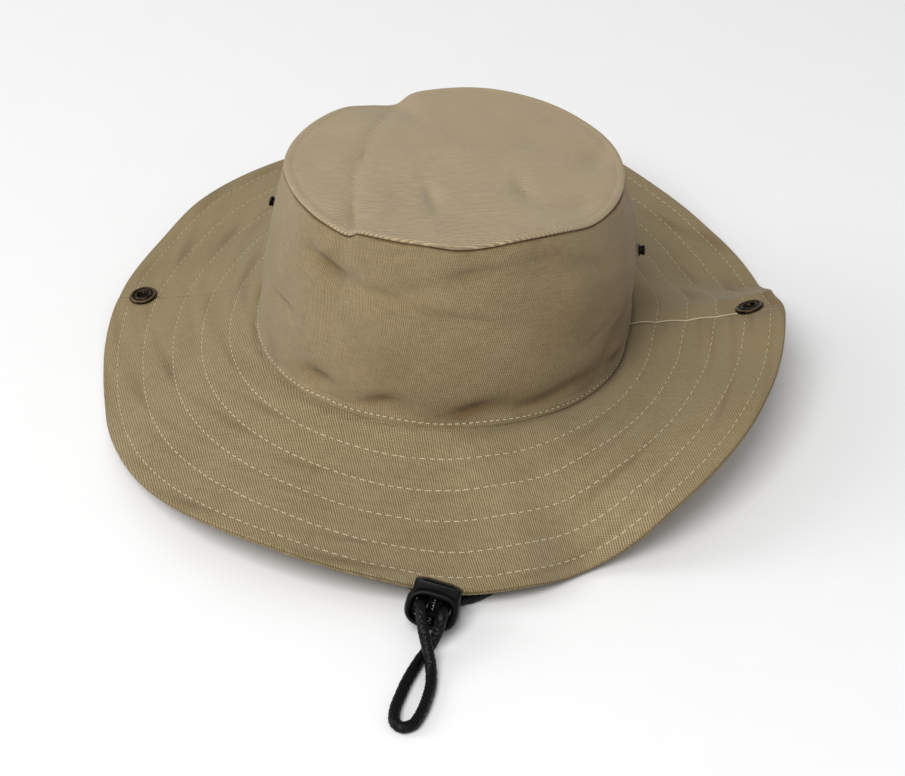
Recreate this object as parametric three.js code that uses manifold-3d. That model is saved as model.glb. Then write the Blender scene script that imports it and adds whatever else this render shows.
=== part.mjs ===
// Outback hat: a stitched drill hat with a soft crown, a wide quilted brim, snap fasteners at the
// sides and a chin cord with a spring cord lock. Millimetres, +Z up, front of the hat towards -Y.
import * as THREE from 'three';
import { mergeVertices } from 'three/addons/utils/BufferGeometryUtils.js';
import Module from 'manifold-3d';

const wasm = await Module();
wasm.setup();

// ---------------------------------------------------------------- driving dimensions

const CLOTH = 1.2; // one layer of drill
const WALL_CLOTH = 1.4; // crown cloth with its turned seams
const GAP = 0.3; // between pieces that are sewn or pressed together
const SEAM_ANGLE = 0.1; // half the gap between two panels at a side seam, in degrees

// Oval seam between crown and brim, for a head of about 58 cm
const BASE = { halfWidth: 80.9, halfDepth: 103.3, height: 27, side: -1.8, back: -5.6, saddle: -3.5 };

// How far that seam lies outside its oval; the rim doesn't follow it
const BASE_BENDS = [
  { angle: 0, out: -0.6 },
  { angle: 15, out: 0 },
  { angle: 180, out: 0 },
  { angle: 215, out: 0.8 },
  { angle: 240, out: 0.8 },
  { angle: 262, out: 0 },
  { angle: 305, out: 0.8 },
  { angle: 330, out: 2.6 },
  { angle: 345, out: 1.6 },
];

// Oval seam between crown wall and tip: the soft crown leans towards the front
const TIP = {
  halfWidth: 71.9, halfDepth: 78.6, x: 4.6, y: -11.6,
  height: 104, fall: -0.117, saddle: -1.2, lobes: -1.2, dome: 3, gap: 0.6,
};
// Along the cloth, turned in below, and how far it curves away across a stud
const WALL = { height: 83, turnedIn: 2.4, sag: 0.3 };
const BRIM = { width: 73.2, start: 2.0 }; // rim to seam along the cloth, and its distance off the wall
const CENTRE = { x: -1.0, y: 0.4 }; // middle of the hat's box, which becomes the origin

// How far the brim slopes below the level, at the crown and at the rim, and how much wider it is
const BRIM_SLOPES = [
  { angle: 0, inner: -17.1, outer: -20.0, wider: -2.6 },
  { angle: 5, inner: -11.6, outer: -21.8, wider: -4.8 },
  { angle: 10, inner: -9.6, outer: -21.6, wider: -7.4 },
  { angle: 15, inner: 0.8, outer: -15.6, wider: -9.2 },
  { angle: 22, inner: 14.5, outer: -7.2, wider: -5.4 },
  { angle: 32, inner: 31.8, outer: 0.2, wider: 0 },
  { angle: 60, inner: 27.0, outer: 2.5, wider: 0 },
  { angle: 90, inner: 15.0, outer: -4.0, wider: 0 },
  { angle: 120, inner: 22.5, outer: -1.2, wider: 0 },
  { angle: 150, inner: 26.5, outer: -6.8, wider: 0 },
  { angle: 180, inner: 25.4, outer: 5.0, wider: 0 },
  { angle: 205, inner: 25.2, outer: 20.4, wider: 0 },
  { angle: 230, inner: 20.9, outer: 15.8, wider: 0 },
  { angle: 255, inner: 29.0, outer: -3.6, wider: 1.0 },
  { angle: 272, inner: 41.5, outer: -7.2, wider: 3.6 },
  { angle: 283, inner: 40.0, outer: 3.6, wider: 3.0 },
  { angle: 293, inner: 31.0, outer: 9.6, wider: 3.2 },
  { angle: 304, inner: 25.4, outer: 22.6, wider: 0.8 },
  { angle: 316, inner: 9.8, outer: -1.0, wider: 0.4 },
  { angle: 340, inner: -9.4, outer: -10.2, wider: -0.6 },
  { angle: 350, inner: -13.0, outer: -13.6, wider: -1.6 },
];

// Seam of the tip where the soft crown has sagged: how far it lies above and outside its oval
const TIP_SEAM = [
  { angle: 0, lift: 0.6, out: -0.8 },
  { angle: 30, lift: 0, out: 0 },
  { angle: 51, lift: -0.8, out: 0 },
  { angle: 74, lift: 0.3, out: 0 },
  { angle: 93, lift: 1.6, out: 0 },
  { angle: 111, lift: 1.0, out: 0 },
  { angle: 118, lift: 0, out: -0.4 },
  { angle: 124, lift: -3.6, out: -1.6 },
  { angle: 134, lift: -2.0, out: -0.4 },
  { angle: 144, lift: 0.5, out: 0 },
  { angle: 157, lift: 0.5, out: 0 },
  { angle: 171, lift: -0.5, out: 0 },
  { angle: 190, lift: -1.0, out: -0.4 },
  { angle: 205, lift: 0, out: -1.4 },
  { angle: 222, lift: 0.5, out: -1.4 },
  { angle: 235, lift: 0.2, out: -0.6 },
  { angle: 245, lift: -1.6, out: -1.6 },
  { angle: 250, lift: 2.0, out: -0.4 },
  { angle: 271, lift: 1.8, out: 0 },
  { angle: 283, lift: 0, out: 0 },
  { angle: 292, lift: 0.6, out: 0 },
  { angle: 303, lift: 2.4, out: 0 },
  { angle: 318, lift: 2.5, out: 0 },
  { angle: 332, lift: 0.5, out: 0 },
  { angle: 346, lift: 0.7, out: -0.4 },
];
const SEAM_CORNERS = [119, 124, 129, 243, 246, 249, 252]; // angles of the sharp bends of that seam

// How far the crown wall swells outwards halfway up
const WALL_SWELL = [
  { angle: 0, out: 5.5 },
  { angle: 60, out: 3.0 },
  { angle: 120, out: 2.0 },
  { angle: 180, out: 2.0 },
  { angle: 235, out: 1.0 },
  { angle: 270, out: 2.5 },
  { angle: 320, out: 3.5 },
];

// Folds of the crown wall: centre, half length, half width, turn from the level and depth inwards
const WALL_FOLDS = [
  { angle: 242, height: 62, length: 22, width: 5.5, turn: -14, depth: 3.2 },
  { angle: 224, height: 70, length: 9, width: 5, turn: -60, depth: -1.6 },
  { angle: 275, height: 64, length: 30, width: 5, turn: 14, depth: 1.6 },
  { angle: 318, height: 66, length: 30, width: 5, turn: -8, depth: 1.5 },
  { angle: 288, height: 49, length: 30, width: 4.5, turn: -8, depth: 1.2 },
  { angle: 222, height: 33, length: 12, width: 2.6, turn: -8, depth: 1.0 },
  { angle: 243, height: 11, length: 11, width: 5, turn: -25, depth: 2.2 },
  { angle: 267, height: 9, length: 14, width: 4.5, turn: 0, depth: 1.6 },
  { angle: 296, height: 9, length: 16, width: 4.5, turn: 0, depth: 2.0 },
  { angle: 338, height: 19, length: 14, width: 5, turn: 48, depth: 2.0 },
  { angle: 20, height: 40, length: 22, width: 7, turn: 60, depth: 1.8 },
  { angle: 62, height: 52, length: 28, width: 8, turn: -10, depth: 2.6 },
  { angle: 105, height: 34, length: 30, width: 8, turn: 12, depth: 2.6 },
  { angle: 145, height: 55, length: 24, width: 8, turn: -20, depth: 2.4 },
];

// Dents of the tip, across the panel: centre, half length, half width, turn and depth
const TIP_DENTS = [
  { x: -27, y: -68, length: 16, width: 3.6, turn: 108, depth: 2.4 },
  { x: -33, y: -38, length: 20, width: 3.6, turn: 100, depth: 2.2 },
  { x: -35, y: -4, length: 24, width: 4, turn: 92, depth: 2.2 },
  { x: -34, y: 32, length: 22, width: 4.5, turn: 86, depth: 2.8 },
  { x: 2, y: -47, length: 13, width: 4, turn: 112, depth: 1.5 },
  { x: 37, y: -29, length: 10, width: 4, turn: 110, depth: 1.1 },
  { x: 62, y: -36, length: 10, width: 5, turn: 60, depth: 1.4 },
  { x: 62, y: 14, length: 14, width: 5, turn: 75, depth: 1.8 },
  { x: -17, y: -60, length: 10, width: 5, turn: 100, depth: -1.0 },
];

// Snap fasteners: on the brim at the side seams, and the studs up the crown wall
const SNAP = { radius: 6.5, rise: 2, hole: 1.95, cap: 6.1, capRise: 1.1, flat: 9, blend: 16 };
const STUD = {
  base: 4.6, baseRise: 0.8, neck: 1.7, head: 2.3, rise: 3.8, cap: 4.4, capRise: 0.9,
};
const POST = { radius: 1.5, hole: 1.8, holeLength: 12 };
const SNAP_COLUMNS = [8, 177, 183, 362]; // angles where the brim lies flat beside the snaps
// Side seams, the snap's run along the brim and the stud's height up the wall
const SIDES = [
  { name: 'left', angle: 180, run: 61, stud: 51 },
  { name: 'right', angle: 5, run: 56, stud: 47 },
];

// Cord lock, upright in its own frame: mouth along Y, button along Z
const LOCK = {
  x: 31.7, y: -181.3, z: 10.2, lean: 34, roll: 12, yaw: 6,
  width: 22, top: 7.7, bottom: -9, depth: 12, edge: 2.8, square: 2.6,
  mouthWidth: 14.8, mouthTop: 3.05, mouthBottom: -6.2, mouthSquare: 4.5,
};
const BUTTON = {
  width: 19, depth: 8.2, top: 10.4, bottom: -4.1, corner: 1.5, foot: 4.8, edge: 0.5,
  slotWidth: 14.6, slotTop: 6.1, slotBottom: -1.85, springHole: 2.5, springDepth: 12, travel: 2.7,
};
const SHAFT_FLOOR = BUTTON.bottom - BUTTON.travel - 0.3;
const SPRING = { radius: 1.8, wire: 0.7, turns: 5, sides: 6, steps: 35 };

// Chin cord: a braided cord, whose centreline runs from the left side seam to the right one
const CORD = { diameter: 4.3, sides: 8, stepsPerPoint: 2, apart: 9.4, height: 0.6 };
const CORD_LEFT = [ // from the seam down inside the crown and along the floor to the lock's back
  [-77.4, 0.0, 30.0],
  [-76.4, -3.0, 15.0],
  [-72.0, -12.0, 4.6],
  [-60.0, -42.0, 2.5],
  [-34.0, -100.0, 2.3],
  [10.0, -153.4, 2.4],
  [21.8, -163.8, 2.9],
  [25.8, -171.2, 5.8],
];
const CORD_LOOP = [ // out of the lock's left side, over the other strand, round and back under it
  [28.4, -189.2, 15.6],
  [29.6, -193.4, 14.0],
  [31.4, -198.0, 11.8],
  [34.1, -203.0, 7.6],
  [36.7, -209.0, 3.6],
  [38.2, -216.4, 2.3],
  [38.4, -225.0, 2.25],
  [37.6, -233.6, 2.25],
  [35.8, -239.4, 2.25],
  [32.5, -241.4, 2.25],
  [29.3, -239.6, 2.25],
  [27.8, -233.8, 2.25],
  [28.1, -224.6, 2.25],
  [29.0, -216.0, 2.4],
  [31.2, -204.4, 2.4],
  [34.2, -197.2, 4.6],
  [36.2, -192.8, 9.2],
  [36.9, -189.8, 13.2],
];
const CORD_RIGHT = [ // from the lock's back under the rim, along the floor and up to the other seam
  [36.6, -171.4, 4.2],
  [39.6, -167.0, 2.6],
  [46.4, -161.6, 2.2],
  [60.0, -142.0, 2.3],
  [74.0, -94.0, 2.3],
  [76.0, -44.0, 2.6],
  [74.4, -14.0, 4.4],
  [75.2, 2.0, 13.0],
  [76.2, 8.0, 25.0],
];

// Rows of points of the cloth panels, and how many points go round each shape
const WALL_ROWS = { first: 9, steps: 7, columns: 22 };
const BRIM_RUNS = [0, 19, 36, 49.8, 61, 67.4, BRIM.width];
const BRIM_COLUMNS = 27;
const TIP_REACHES = [0.2, 0.4, 0.58, 0.74, 0.88, 1];
const TIP_COLUMNS = 44;
const TIP_EDGE = 0.85; // reach past which the tip widens over the wall's thickness
const POINTS = {
  socket: 16, stud: 14, cap: 12, rivetHole: 8, lockOutline: 24, lockMouth: 16, springHole: 10,
};

// ---------------------------------------------------------------- small helpers

const radians = THREE.MathUtils.degToRad;
const smoothstep = THREE.MathUtils.smoothstep;

/** A smooth closed curve through a table's rows: value of `column` at any angle in degrees. */
function around(rows, column) {
  const count = rows.length;
  const angleAt = (i) => rows[((i % count) + count) % count].angle + 360 * Math.floor(i / count);
  const valueAt = (i) => rows[((i % count) + count) % count][column];
  const tangentAt = (i) => (valueAt(i + 1) - valueAt(i - 1)) / (angleAt(i + 1) - angleAt(i - 1));
  return (angle) => {
    const turn = ((angle % 360) + 360) % 360;
    let i = count - 1;
    while (angleAt(i) > turn) i -= 1;
    const span = angleAt(i + 1) - angleAt(i);
    const t = (turn - angleAt(i)) / span;
    const rise = t * t * (3 - 2 * t);
    return valueAt(i) * (1 - rise) + valueAt(i + 1) * rise
      + span * (tangentAt(i) * t * (1 - t) ** 2 - tangentAt(i + 1) * t * t * (1 - t));
  };
}

/** A soft oval dent, 1 in the middle and fading to 0 past its half length and half width. */
function softOval(along, across, fold) {
  const turn = radians(fold.turn);
  const long = (along * Math.cos(turn) + across * Math.sin(turn)) / fold.length;
  const wide = (across * Math.cos(turn) - along * Math.sin(turn)) / fold.width;
  return Math.exp(-long * long - wide * wide);
}

/** Angle from `to` to `from` in degrees, between -180 and 180. */
const angleBetween = (from, to) => ((from - to + 540) % 360) - 180;

// ---------------------------------------------------------------- the hat's surfaces

const swell = around(WALL_SWELL, 'out');
const slopeAtCrown = around(BRIM_SLOPES, 'inner');
const slopeAtRim = around(BRIM_SLOPES, 'outer');
const wider = around(BRIM_SLOPES, 'wider');
const seamLift = around(TIP_SEAM, 'lift');
const seamOut = around(TIP_SEAM, 'out');
const baseOut = around(BASE_BENDS, 'out');

/** Level direction out of the crown at its base. */
function outwards(angle) {
  const a = radians(angle);
  return new THREE.Vector3(Math.cos(a) / BASE.halfWidth, Math.sin(a) / BASE.halfDepth, 0).normalize();
}

/** Seam between crown and brim. */
function basePoint(angle) {
  const a = radians(angle);
  return new THREE.Vector3(
    BASE.halfWidth * Math.cos(a) - CENTRE.x,
    BASE.halfDepth * Math.sin(a) - CENTRE.y,
    BASE.height + BASE.side * Math.cos(a) + BASE.back * Math.sin(a) + BASE.saddle * Math.cos(2 * a),
  ).addScaledVector(outwards(angle), baseOut(angle));
}

/** Height of the tip's tilted plane. */
const tipPlane = (y) => TIP.height + TIP.fall * y;

/** Seam between crown wall and tip. */
function tipPoint(angle) {
  const a = radians(angle);
  const x = TIP.x + (TIP.halfWidth + seamOut(angle)) * Math.cos(a);
  const y = TIP.y + (TIP.halfDepth + seamOut(angle)) * Math.sin(a);
  const waves = TIP.saddle * Math.cos(2 * a) + TIP.lobes * Math.cos(3 * a);
  return new THREE.Vector3(x - CENTRE.x, y - CENTRE.y, tipPlane(y) + waves + seamLift(angle));
}

/** Crown wall, at a height along the cloth above the base seam; below the seam it goes straight down. */
function wallPoint(angle, height) {
  const up = Math.max(height, 0) / WALL.height;
  const point = basePoint(angle).lerp(tipPoint(angle), up);
  let out = swell(angle) * 4 * up * (1 - up);
  const radius = (BASE.halfWidth + BASE.halfDepth) / 2;
  const fade = smoothstep(up, 0, 0.06) * (1 - smoothstep(up, 0.93, 1));
  for (const fold of WALL_FOLDS) {
    const along = radians(angleBetween(angle, fold.angle)) * radius;
    out -= fold.depth * fade * softOval(along, height - fold.height, fold);
  }
  point.addScaledVector(outwards(angle), out);
  point.z += Math.min(height, 0);
  return point;
}

/** Tip panel, from its middle (reach 0) to its seam (reach 1). */
function topPoint(angle, reach) {
  const rim = tipPoint(angle);
  const middle = new THREE.Vector3(TIP.x - CENTRE.x, TIP.y - CENTRE.y, rim.z);
  const point = middle.lerp(rim, reach);
  const [x, y] = [point.x + CENTRE.x, point.y + CENTRE.y];
  const seam = rim.z - tipPlane(rim.y + CENTRE.y);
  point.z = tipPlane(y) + seam * reach ** 3 + TIP.dome * (1 - reach * reach);
  const fade = 1 - smoothstep(reach, 0.9, 1);
  for (const dent of TIP_DENTS) {
    point.z -= dent.depth * fade * softOval(x - dent.x, y - dent.y, dent);
  }
  return point;
}

const BRIM_HALF = CLOTH + GAP / 2; // half the quilted brim's thickness

const SETTLE = 0.5; // how softly the brim leaves the floor

/** Rests the brim's middle surface on the floor: cloth that would sink lies flat instead. */
function restOnFloor(z) {
  const over = z - BRIM_HALF;
  const settled = Math.min(Math.max(over, -SETTLE), SETTLE) + SETTLE;
  return BRIM_HALF + Math.max(over - SETTLE, 0) + (settled * settled) / (4 * SETTLE);
}

/**
 * Brim's middle surface before the snaps press it flat. `share` is the run along the cloth from the crown
 * for a brim of plain width; where the brim is wider it is stretched.
 */
function looseBrimPoint(angle, share) {
  const first = radians(slopeAtCrown(angle));
  const bend = (radians(slopeAtRim(angle)) - first) / BRIM.width;
  const run = share + wider(angle) * (share / BRIM.width) ** 3;
  const last = first + bend * run;
  const small = Math.abs(bend) < 1e-6;
  const reach = small ? run * Math.cos(first) : (Math.sin(last) - Math.sin(first)) / bend;
  const drop = small ? run * Math.sin(first) : (Math.cos(first) - Math.cos(last)) / bend;
  const bent = baseOut(angle) * Math.min(share / BRIM.width, 1);
  const point = basePoint(angle).addScaledVector(outwards(angle), BRIM.start + reach - bent);
  point.z = restOnFloor(point.z - drop);
  return point;
}

/** Unit normal of a surface given by two numbers, on the side that `side` picks. */
function normalOf(surface, u, v, side) {
  const step = 0.05;
  const du = surface(u + step, v).sub(surface(u - step, v));
  const dv = surface(u, v + step).sub(surface(u, v - step));
  return du.cross(dv).normalize().multiplyScalar(side);
}

const snapSeats = SIDES.map(({ angle, run }) => ({
  point: looseBrimPoint(angle, run),
  normal: normalOf(looseBrimPoint, angle, run, -1),
}));

/** Brim's middle surface, pressed flat round each snap. */
function brimPoint(angle, run) {
  const point = looseBrimPoint(angle, run);
  for (const seat of snapSeats) {
    const offset = point.clone().sub(seat.point);
    const height = offset.dot(seat.normal);
    const away = Math.sqrt(Math.max(offset.lengthSq() - height * height, 0));
    const pressed = 1 - smoothstep(away, SNAP.flat, SNAP.blend);
    if (offset.length() < 2 * SNAP.blend) point.addScaledVector(seat.normal, -height * pressed);
  }
  return point;
}

// ---------------------------------------------------------------- cloth panels as closed meshes

/** Evenly spaced numbers, both ends included. */
const spaced = (from, to, steps) => (
  Array.from({ length: steps + 1 }, (_, i) => from + ((to - from) * i) / steps));

/** The same numbers with those of `extra` that lie between them, in place of any that are close. */
function withExtra(angles, extra) {
  const added = extra.filter((one) => one > angles[0] && one < angles[angles.length - 1]);
  const clear = angles.filter((angle) => added.every((one) => Math.abs(angle - one) > 2));
  return [...clear, ...added].sort((a, b) => a - b);
}

/** A geometry from points and triangles. */
function meshOf(points, triangles) {
  const geometry = new THREE.BufferGeometry();
  const xyz = points.flatMap((point) => point.toArray());
  geometry.setAttribute('position', new THREE.Float32BufferAttribute(xyz, 3));
  geometry.setIndex(triangles.flat());
  return geometry;
}

/** A cloth panel over a grid, between two distances off its middle surface. `side` is its outer side. */
function clothPanel(surface, side, us, vs, low, high) {
  const columns = us.length;
  const rows = vs.length;
  const layer = (lift) => vs.flatMap((v) => us.map((u) => (
    surface(u, v).addScaledVector(normalOf(surface, u, v, side), lift))));
  const points = [...layer(high), ...layer(low)];
  const below = columns * rows;
  const at = (i, j) => j * columns + i;
  const triangles = [];
  const quad = (a, b, c, d) => {
    const corners = side > 0 ? [a, b, c, d] : [d, c, b, a];
    triangles.push([corners[0], corners[1], corners[2]], [corners[0], corners[2], corners[3]]);
  };
  for (let j = 0; j < rows - 1; j += 1) {
    for (let i = 0; i < columns - 1; i += 1) {
      const [a, b, c, d] = [at(i, j), at(i + 1, j), at(i + 1, j + 1), at(i, j + 1)];
      quad(a, b, c, d);
      quad(below + a, below + d, below + c, below + b);
    }
  }
  for (let i = 0; i < columns - 1; i += 1) {
    quad(below + at(i, 0), below + at(i + 1, 0), at(i + 1, 0), at(i, 0));
    quad(below + at(i + 1, rows - 1), below + at(i, rows - 1), at(i, rows - 1), at(i + 1, rows - 1));
  }
  for (let j = 0; j < rows - 1; j += 1) {
    quad(below + at(0, j + 1), below + at(0, j), at(0, j), at(0, j + 1));
    const [lower, upper] = [at(columns - 1, j), at(columns - 1, j + 1)];
    quad(below + lower, below + upper, upper, lower);
  }
  return meshOf(points, triangles);
}

/** The tip panel: a closed disc between two distances off its middle surface. */
function clothDisc(surface, angles, reaches, low, high) {
  const count = angles.length;
  const points = [];
  const triangles = [];
  for (const lift of [high, low]) {
    const start = points.length;
    const middle = surface(0, 0);
    points.push(middle.add(new THREE.Vector3(0, 0, lift)));
    for (const reach of reaches) {
      for (const angle of angles) {
        const up = reach < 1 ? normalOf(surface, angle, reach, -1) : new THREE.Vector3(0, 0, 1);
        points.push(surface(angle, reach).addScaledVector(up, lift));
      }
    }
    const at = (ring, i) => start + 1 + ring * count + (i % count);
    const face = (a, b, c) => triangles.push(lift === high ? [a, b, c] : [a, c, b]);
    for (let i = 0; i < count; i += 1) {
      face(start, at(0, i), at(0, i + 1));
      for (let ring = 0; ring < reaches.length - 1; ring += 1) {
        face(at(ring, i), at(ring + 1, i), at(ring + 1, i + 1));
        face(at(ring, i), at(ring + 1, i + 1), at(ring, i + 1));
      }
    }
  }
  const side = 1 + count * reaches.length;
  const last = 1 + count * (reaches.length - 1);
  for (let i = 0; i < count; i += 1) {
    const [a, b] = [last + i, last + ((i + 1) % count)];
    triangles.push([side + a, side + b, b], [side + a, b, a]);
  }
  return meshOf(points, triangles);
}

// ---------------------------------------------------------------- cutting and joining

/** A closed geometry as a solid that can be cut and joined. */
function solid(geometry) {
  const bare = geometry.clone();
  for (const name of Object.keys(bare.attributes)) {
    if (name !== 'position') bare.deleteAttribute(name);
  }
  const merged = mergeVertices(bare, 1e-4);
  return new wasm.Manifold(new wasm.Mesh({
    numProp: 3,
    vertProperties: new Float32Array(merged.attributes.position.array),
    triVerts: new Uint32Array(merged.index.array),
  }));
}

/** A solid back as a geometry. */
function geometryOf(body) {
  const { vertProperties, triVerts, numProp } = body.getMesh();
  const geometry = new THREE.BufferGeometry();
  const xyz = Float32Array.from({ length: (vertProperties.length / numProp) * 3 }, (_, i) => (
    vertProperties[Math.floor(i / 3) * numProp + (i % 3)]));
  geometry.setAttribute('position', new THREE.BufferAttribute(xyz, 3));
  geometry.setIndex([...triVerts]);
  return geometry;
}

/** A round bar along Z, moved so that its Z axis follows `direction` through `point`. */
function barAt(point, direction, radius, length, sides) {
  const turn = new THREE.Quaternion().setFromUnitVectors(new THREE.Vector3(0, 0, 1), direction);
  return new THREE.CylinderGeometry(radius, radius, length, sides)
    .rotateX(Math.PI / 2)
    .applyQuaternion(turn)
    .translate(...point.toArray());
}

// ---------------------------------------------------------------- materials

const material = (name, color, roughness, metalness) => (
  new THREE.MeshStandardMaterial({ name, color, roughness, metalness }));
const MATERIALS = {
  drill: material('drill', 0xa3946d, 0.95, 0),
  underDrill: material('under_drill', 0x9c8d68, 0.95, 0),
  brass: material('antique_brass', 0x5d4a30, 0.38, 1),
  cord: material('cord_braid', 0x0c0c0d, 0.85, 0),
  lock: material('lock_plastic', 0x101114, 0.42, 0),
  spring: material('spring_steel', 0xb9bbbe, 0.3, 1),
};

const hat = new THREE.Group();

/** Adds a named mesh to a group. */
function add(group, name, geometry, finish) {
  const mesh = new THREE.Mesh(geometry, finish);
  mesh.name = name;
  group.add(mesh);
  return mesh;
}

// ---------------------------------------------------------------- crown and brim

const [LEFT, RIGHT] = SIDES;
const HALVES = [
  { name: 'front', from: LEFT.angle + SEAM_ANGLE, to: RIGHT.angle + 360 - SEAM_ANGLE },
  { name: 'back', from: RIGHT.angle + SEAM_ANGLE, to: LEFT.angle - SEAM_ANGLE },
];
const studSeats = SIDES.map(({ angle, stud }) => ({
  point: wallPoint(angle, stud),
  normal: normalOf(wallPoint, angle, stud, 1),
}));

/** Cuts the rivet holes of both sides out of a cloth panel. */
function withHoles(geometry, seats) {
  const holes = seats.map(({ point, normal }) => (
    solid(barAt(point, normal, POST.hole, POST.holeLength, POINTS.rivetHole))));
  return geometryOf(holes.reduce((body, hole) => body.subtract(hole), solid(geometry)));
}

function buildCrown() {
  const half = WALL_CLOTH / 2;
  for (const { name, from, to } of HALVES) {
    const heights = [-WALL.turnedIn, 0, ...spaced(WALL_ROWS.first, WALL.height, WALL_ROWS.steps)];
    const angles = withExtra(spaced(from, to, WALL_ROWS.columns), SEAM_CORNERS);
    const panel = clothPanel(wallPoint, 1, angles, heights, -half, half);
    add(hat, `crown_side_${name}`, withHoles(panel, studSeats), MATERIALS.drill);
  }
  // The tip lies on the wall's top edge and reaches over its full thickness
  const raised = (angle, reach) => topPoint(angle, reach).add(new THREE.Vector3(0, 0, TIP.gap + half));
  const edged = (angle, reach) => raised(angle, reach).add(
    outwards(angle).multiplyScalar(half * smoothstep(reach, TIP_EDGE, 1)));
  const angles = withExtra(spaced(0, 360, TIP_COLUMNS), SEAM_CORNERS).slice(0, -1);
  add(hat, 'crown_top', clothDisc(edged, angles, TIP_REACHES, -half, half), MATERIALS.drill);
}

function buildBrim() {
  const layers = [
    { name: 'upper', low: GAP / 2, high: BRIM_HALF, finish: MATERIALS.drill },
    { name: 'under', low: -BRIM_HALF, high: -GAP / 2, finish: MATERIALS.underDrill },
  ];
  for (const { name, from, to } of HALVES) {
    for (const layer of layers) {
      const angles = withExtra(spaced(from, to, BRIM_COLUMNS), SNAP_COLUMNS);
      const panel = clothPanel(brimPoint, -1, angles, BRIM_RUNS, layer.low, layer.high);
      add(hat, `brim_${layer.name}_${name}`, withHoles(panel, snapSeats), layer.finish);
    }
  }
}

// ---------------------------------------------------------------- snap fasteners

/** A turned piece from radius and height pairs, round Z. */
const turned = (profile, sides) => (
  new THREE.LatheGeometry(profile.map(([r, z]) => new THREE.Vector2(r, z)), sides).rotateX(Math.PI / 2));

/** A group whose Z axis stands on a seat's normal. */
function groupAt({ point, normal }) {
  const group = new THREE.Group();
  group.position.copy(point);
  group.quaternion.setFromUnitVectors(new THREE.Vector3(0, 0, 1), normal);
  hat.add(group);
  return group;
}

/** A cap with its rivet post, under a cloth of half thickness `half`. */
function rivetCap(radius, rise, half, postEnd) {
  const top = -half - GAP;
  return turned([
    [0, top - rise], [radius * 0.6, top - rise], [radius * 0.92, top - rise * 0.6], [radius, top - 0.2],
    [radius - 0.2, top], [POST.radius, top], [POST.radius, postEnd], [0, postEnd],
  ], POINTS.cap);
}

function buildSnaps() {
  const seat = BRIM_HALF + GAP;
  const socket = [
    [SNAP.hole, seat], [SNAP.radius - 0.2, seat], [SNAP.radius, seat + 0.4],
    [SNAP.radius * 0.9, seat + 1.3], [SNAP.radius * 0.76, seat + 1.6],
    [SNAP.radius * 0.62, seat + 1.1], [SNAP.radius * 0.52, seat + 1.2],
    [SNAP.radius * 0.42, seat + SNAP.rise], [SNAP.hole, seat + SNAP.rise - 0.2], [SNAP.hole, seat],
  ];
  const studSeat = WALL_CLOTH / 2 + GAP;
  const stud = [
    [0, studSeat], [STUD.base - 0.2, studSeat], [STUD.base, studSeat + 0.3],
    [STUD.base * 0.8, studSeat + STUD.baseRise], [STUD.neck, studSeat + STUD.baseRise + 0.3],
    [STUD.neck, studSeat + STUD.rise - 1.6], [STUD.head, studSeat + STUD.rise - 0.9],
    [STUD.head * 0.8, studSeat + STUD.rise - 0.2], [0, studSeat + STUD.rise],
  ];
  SIDES.forEach(({ name }, i) => {
    const onBrim = groupAt(snapSeats[i]);
    add(onBrim, `snap_socket_${name}`, turned(socket, POINTS.socket), MATERIALS.brass);
    const cap = rivetCap(SNAP.cap, SNAP.capRise, BRIM_HALF, seat + 0.5);
    add(onBrim, `snap_cap_${name}`, cap, MATERIALS.brass);
    const onWall = groupAt(studSeats[i]);
    add(onWall, `snap_stud_${name}`, turned(stud, POINTS.stud), MATERIALS.brass);
    const studCap = rivetCap(STUD.cap, STUD.capRise, WALL_CLOTH / 2 + WALL.sag, studSeat - GAP);
    add(onWall, `stud_cap_${name}`, studCap, MATERIALS.brass);
  });
}

// ---------------------------------------------------------------- cord lock

/** An oval that is a little square, as a shape. */
function squareOval(halfWidth, halfHeight, power, count) {
  const corner = (i) => {
    const a = (2 * Math.PI * i) / count;
    const bulge = (value) => Math.sign(value) * Math.abs(value) ** (2 / power);
    return new THREE.Vector2(halfWidth * bulge(Math.cos(a)), halfHeight * bulge(Math.sin(a)));
  };
  return new THREE.Shape(Array.from({ length: count }, (_, i) => corner(i)));
}

/** A shape in the XZ plane made a solid along Y, centred on Y. */
function alongY(shape, depth, edge, edgeSteps) {
  const bevel = { bevelEnabled: edge > 0, bevelThickness: edge, bevelSize: edge, bevelSegments: edgeSteps };
  const inner = depth - 2 * edge;
  return new THREE.ExtrudeGeometry(shape, { depth: inner, ...bevel })
    .translate(0, 0, -inner / 2)
    .rotateX(Math.PI / 2);
}

/** A box between two heights, centred on X and Y. */
const boxBetween = (width, depth, bottom, top) => (
  new THREE.BoxGeometry(width, depth, top - bottom).translate(0, 0, (top + bottom) / 2));

/** A shape in the XZ plane with square top corners and round bottom ones. */
function plungerShape(width, bottom, top, foot) {
  const shape = new THREE.Shape();
  const x = width / 2;
  shape.moveTo(x, top).lineTo(-x, top).lineTo(-x, bottom + foot);
  shape.absarc(-x + foot, bottom + foot, foot, Math.PI, 1.5 * Math.PI);
  shape.absarc(x - foot, bottom + foot, foot, 1.5 * Math.PI, 2 * Math.PI);
  return shape;
}

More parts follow.
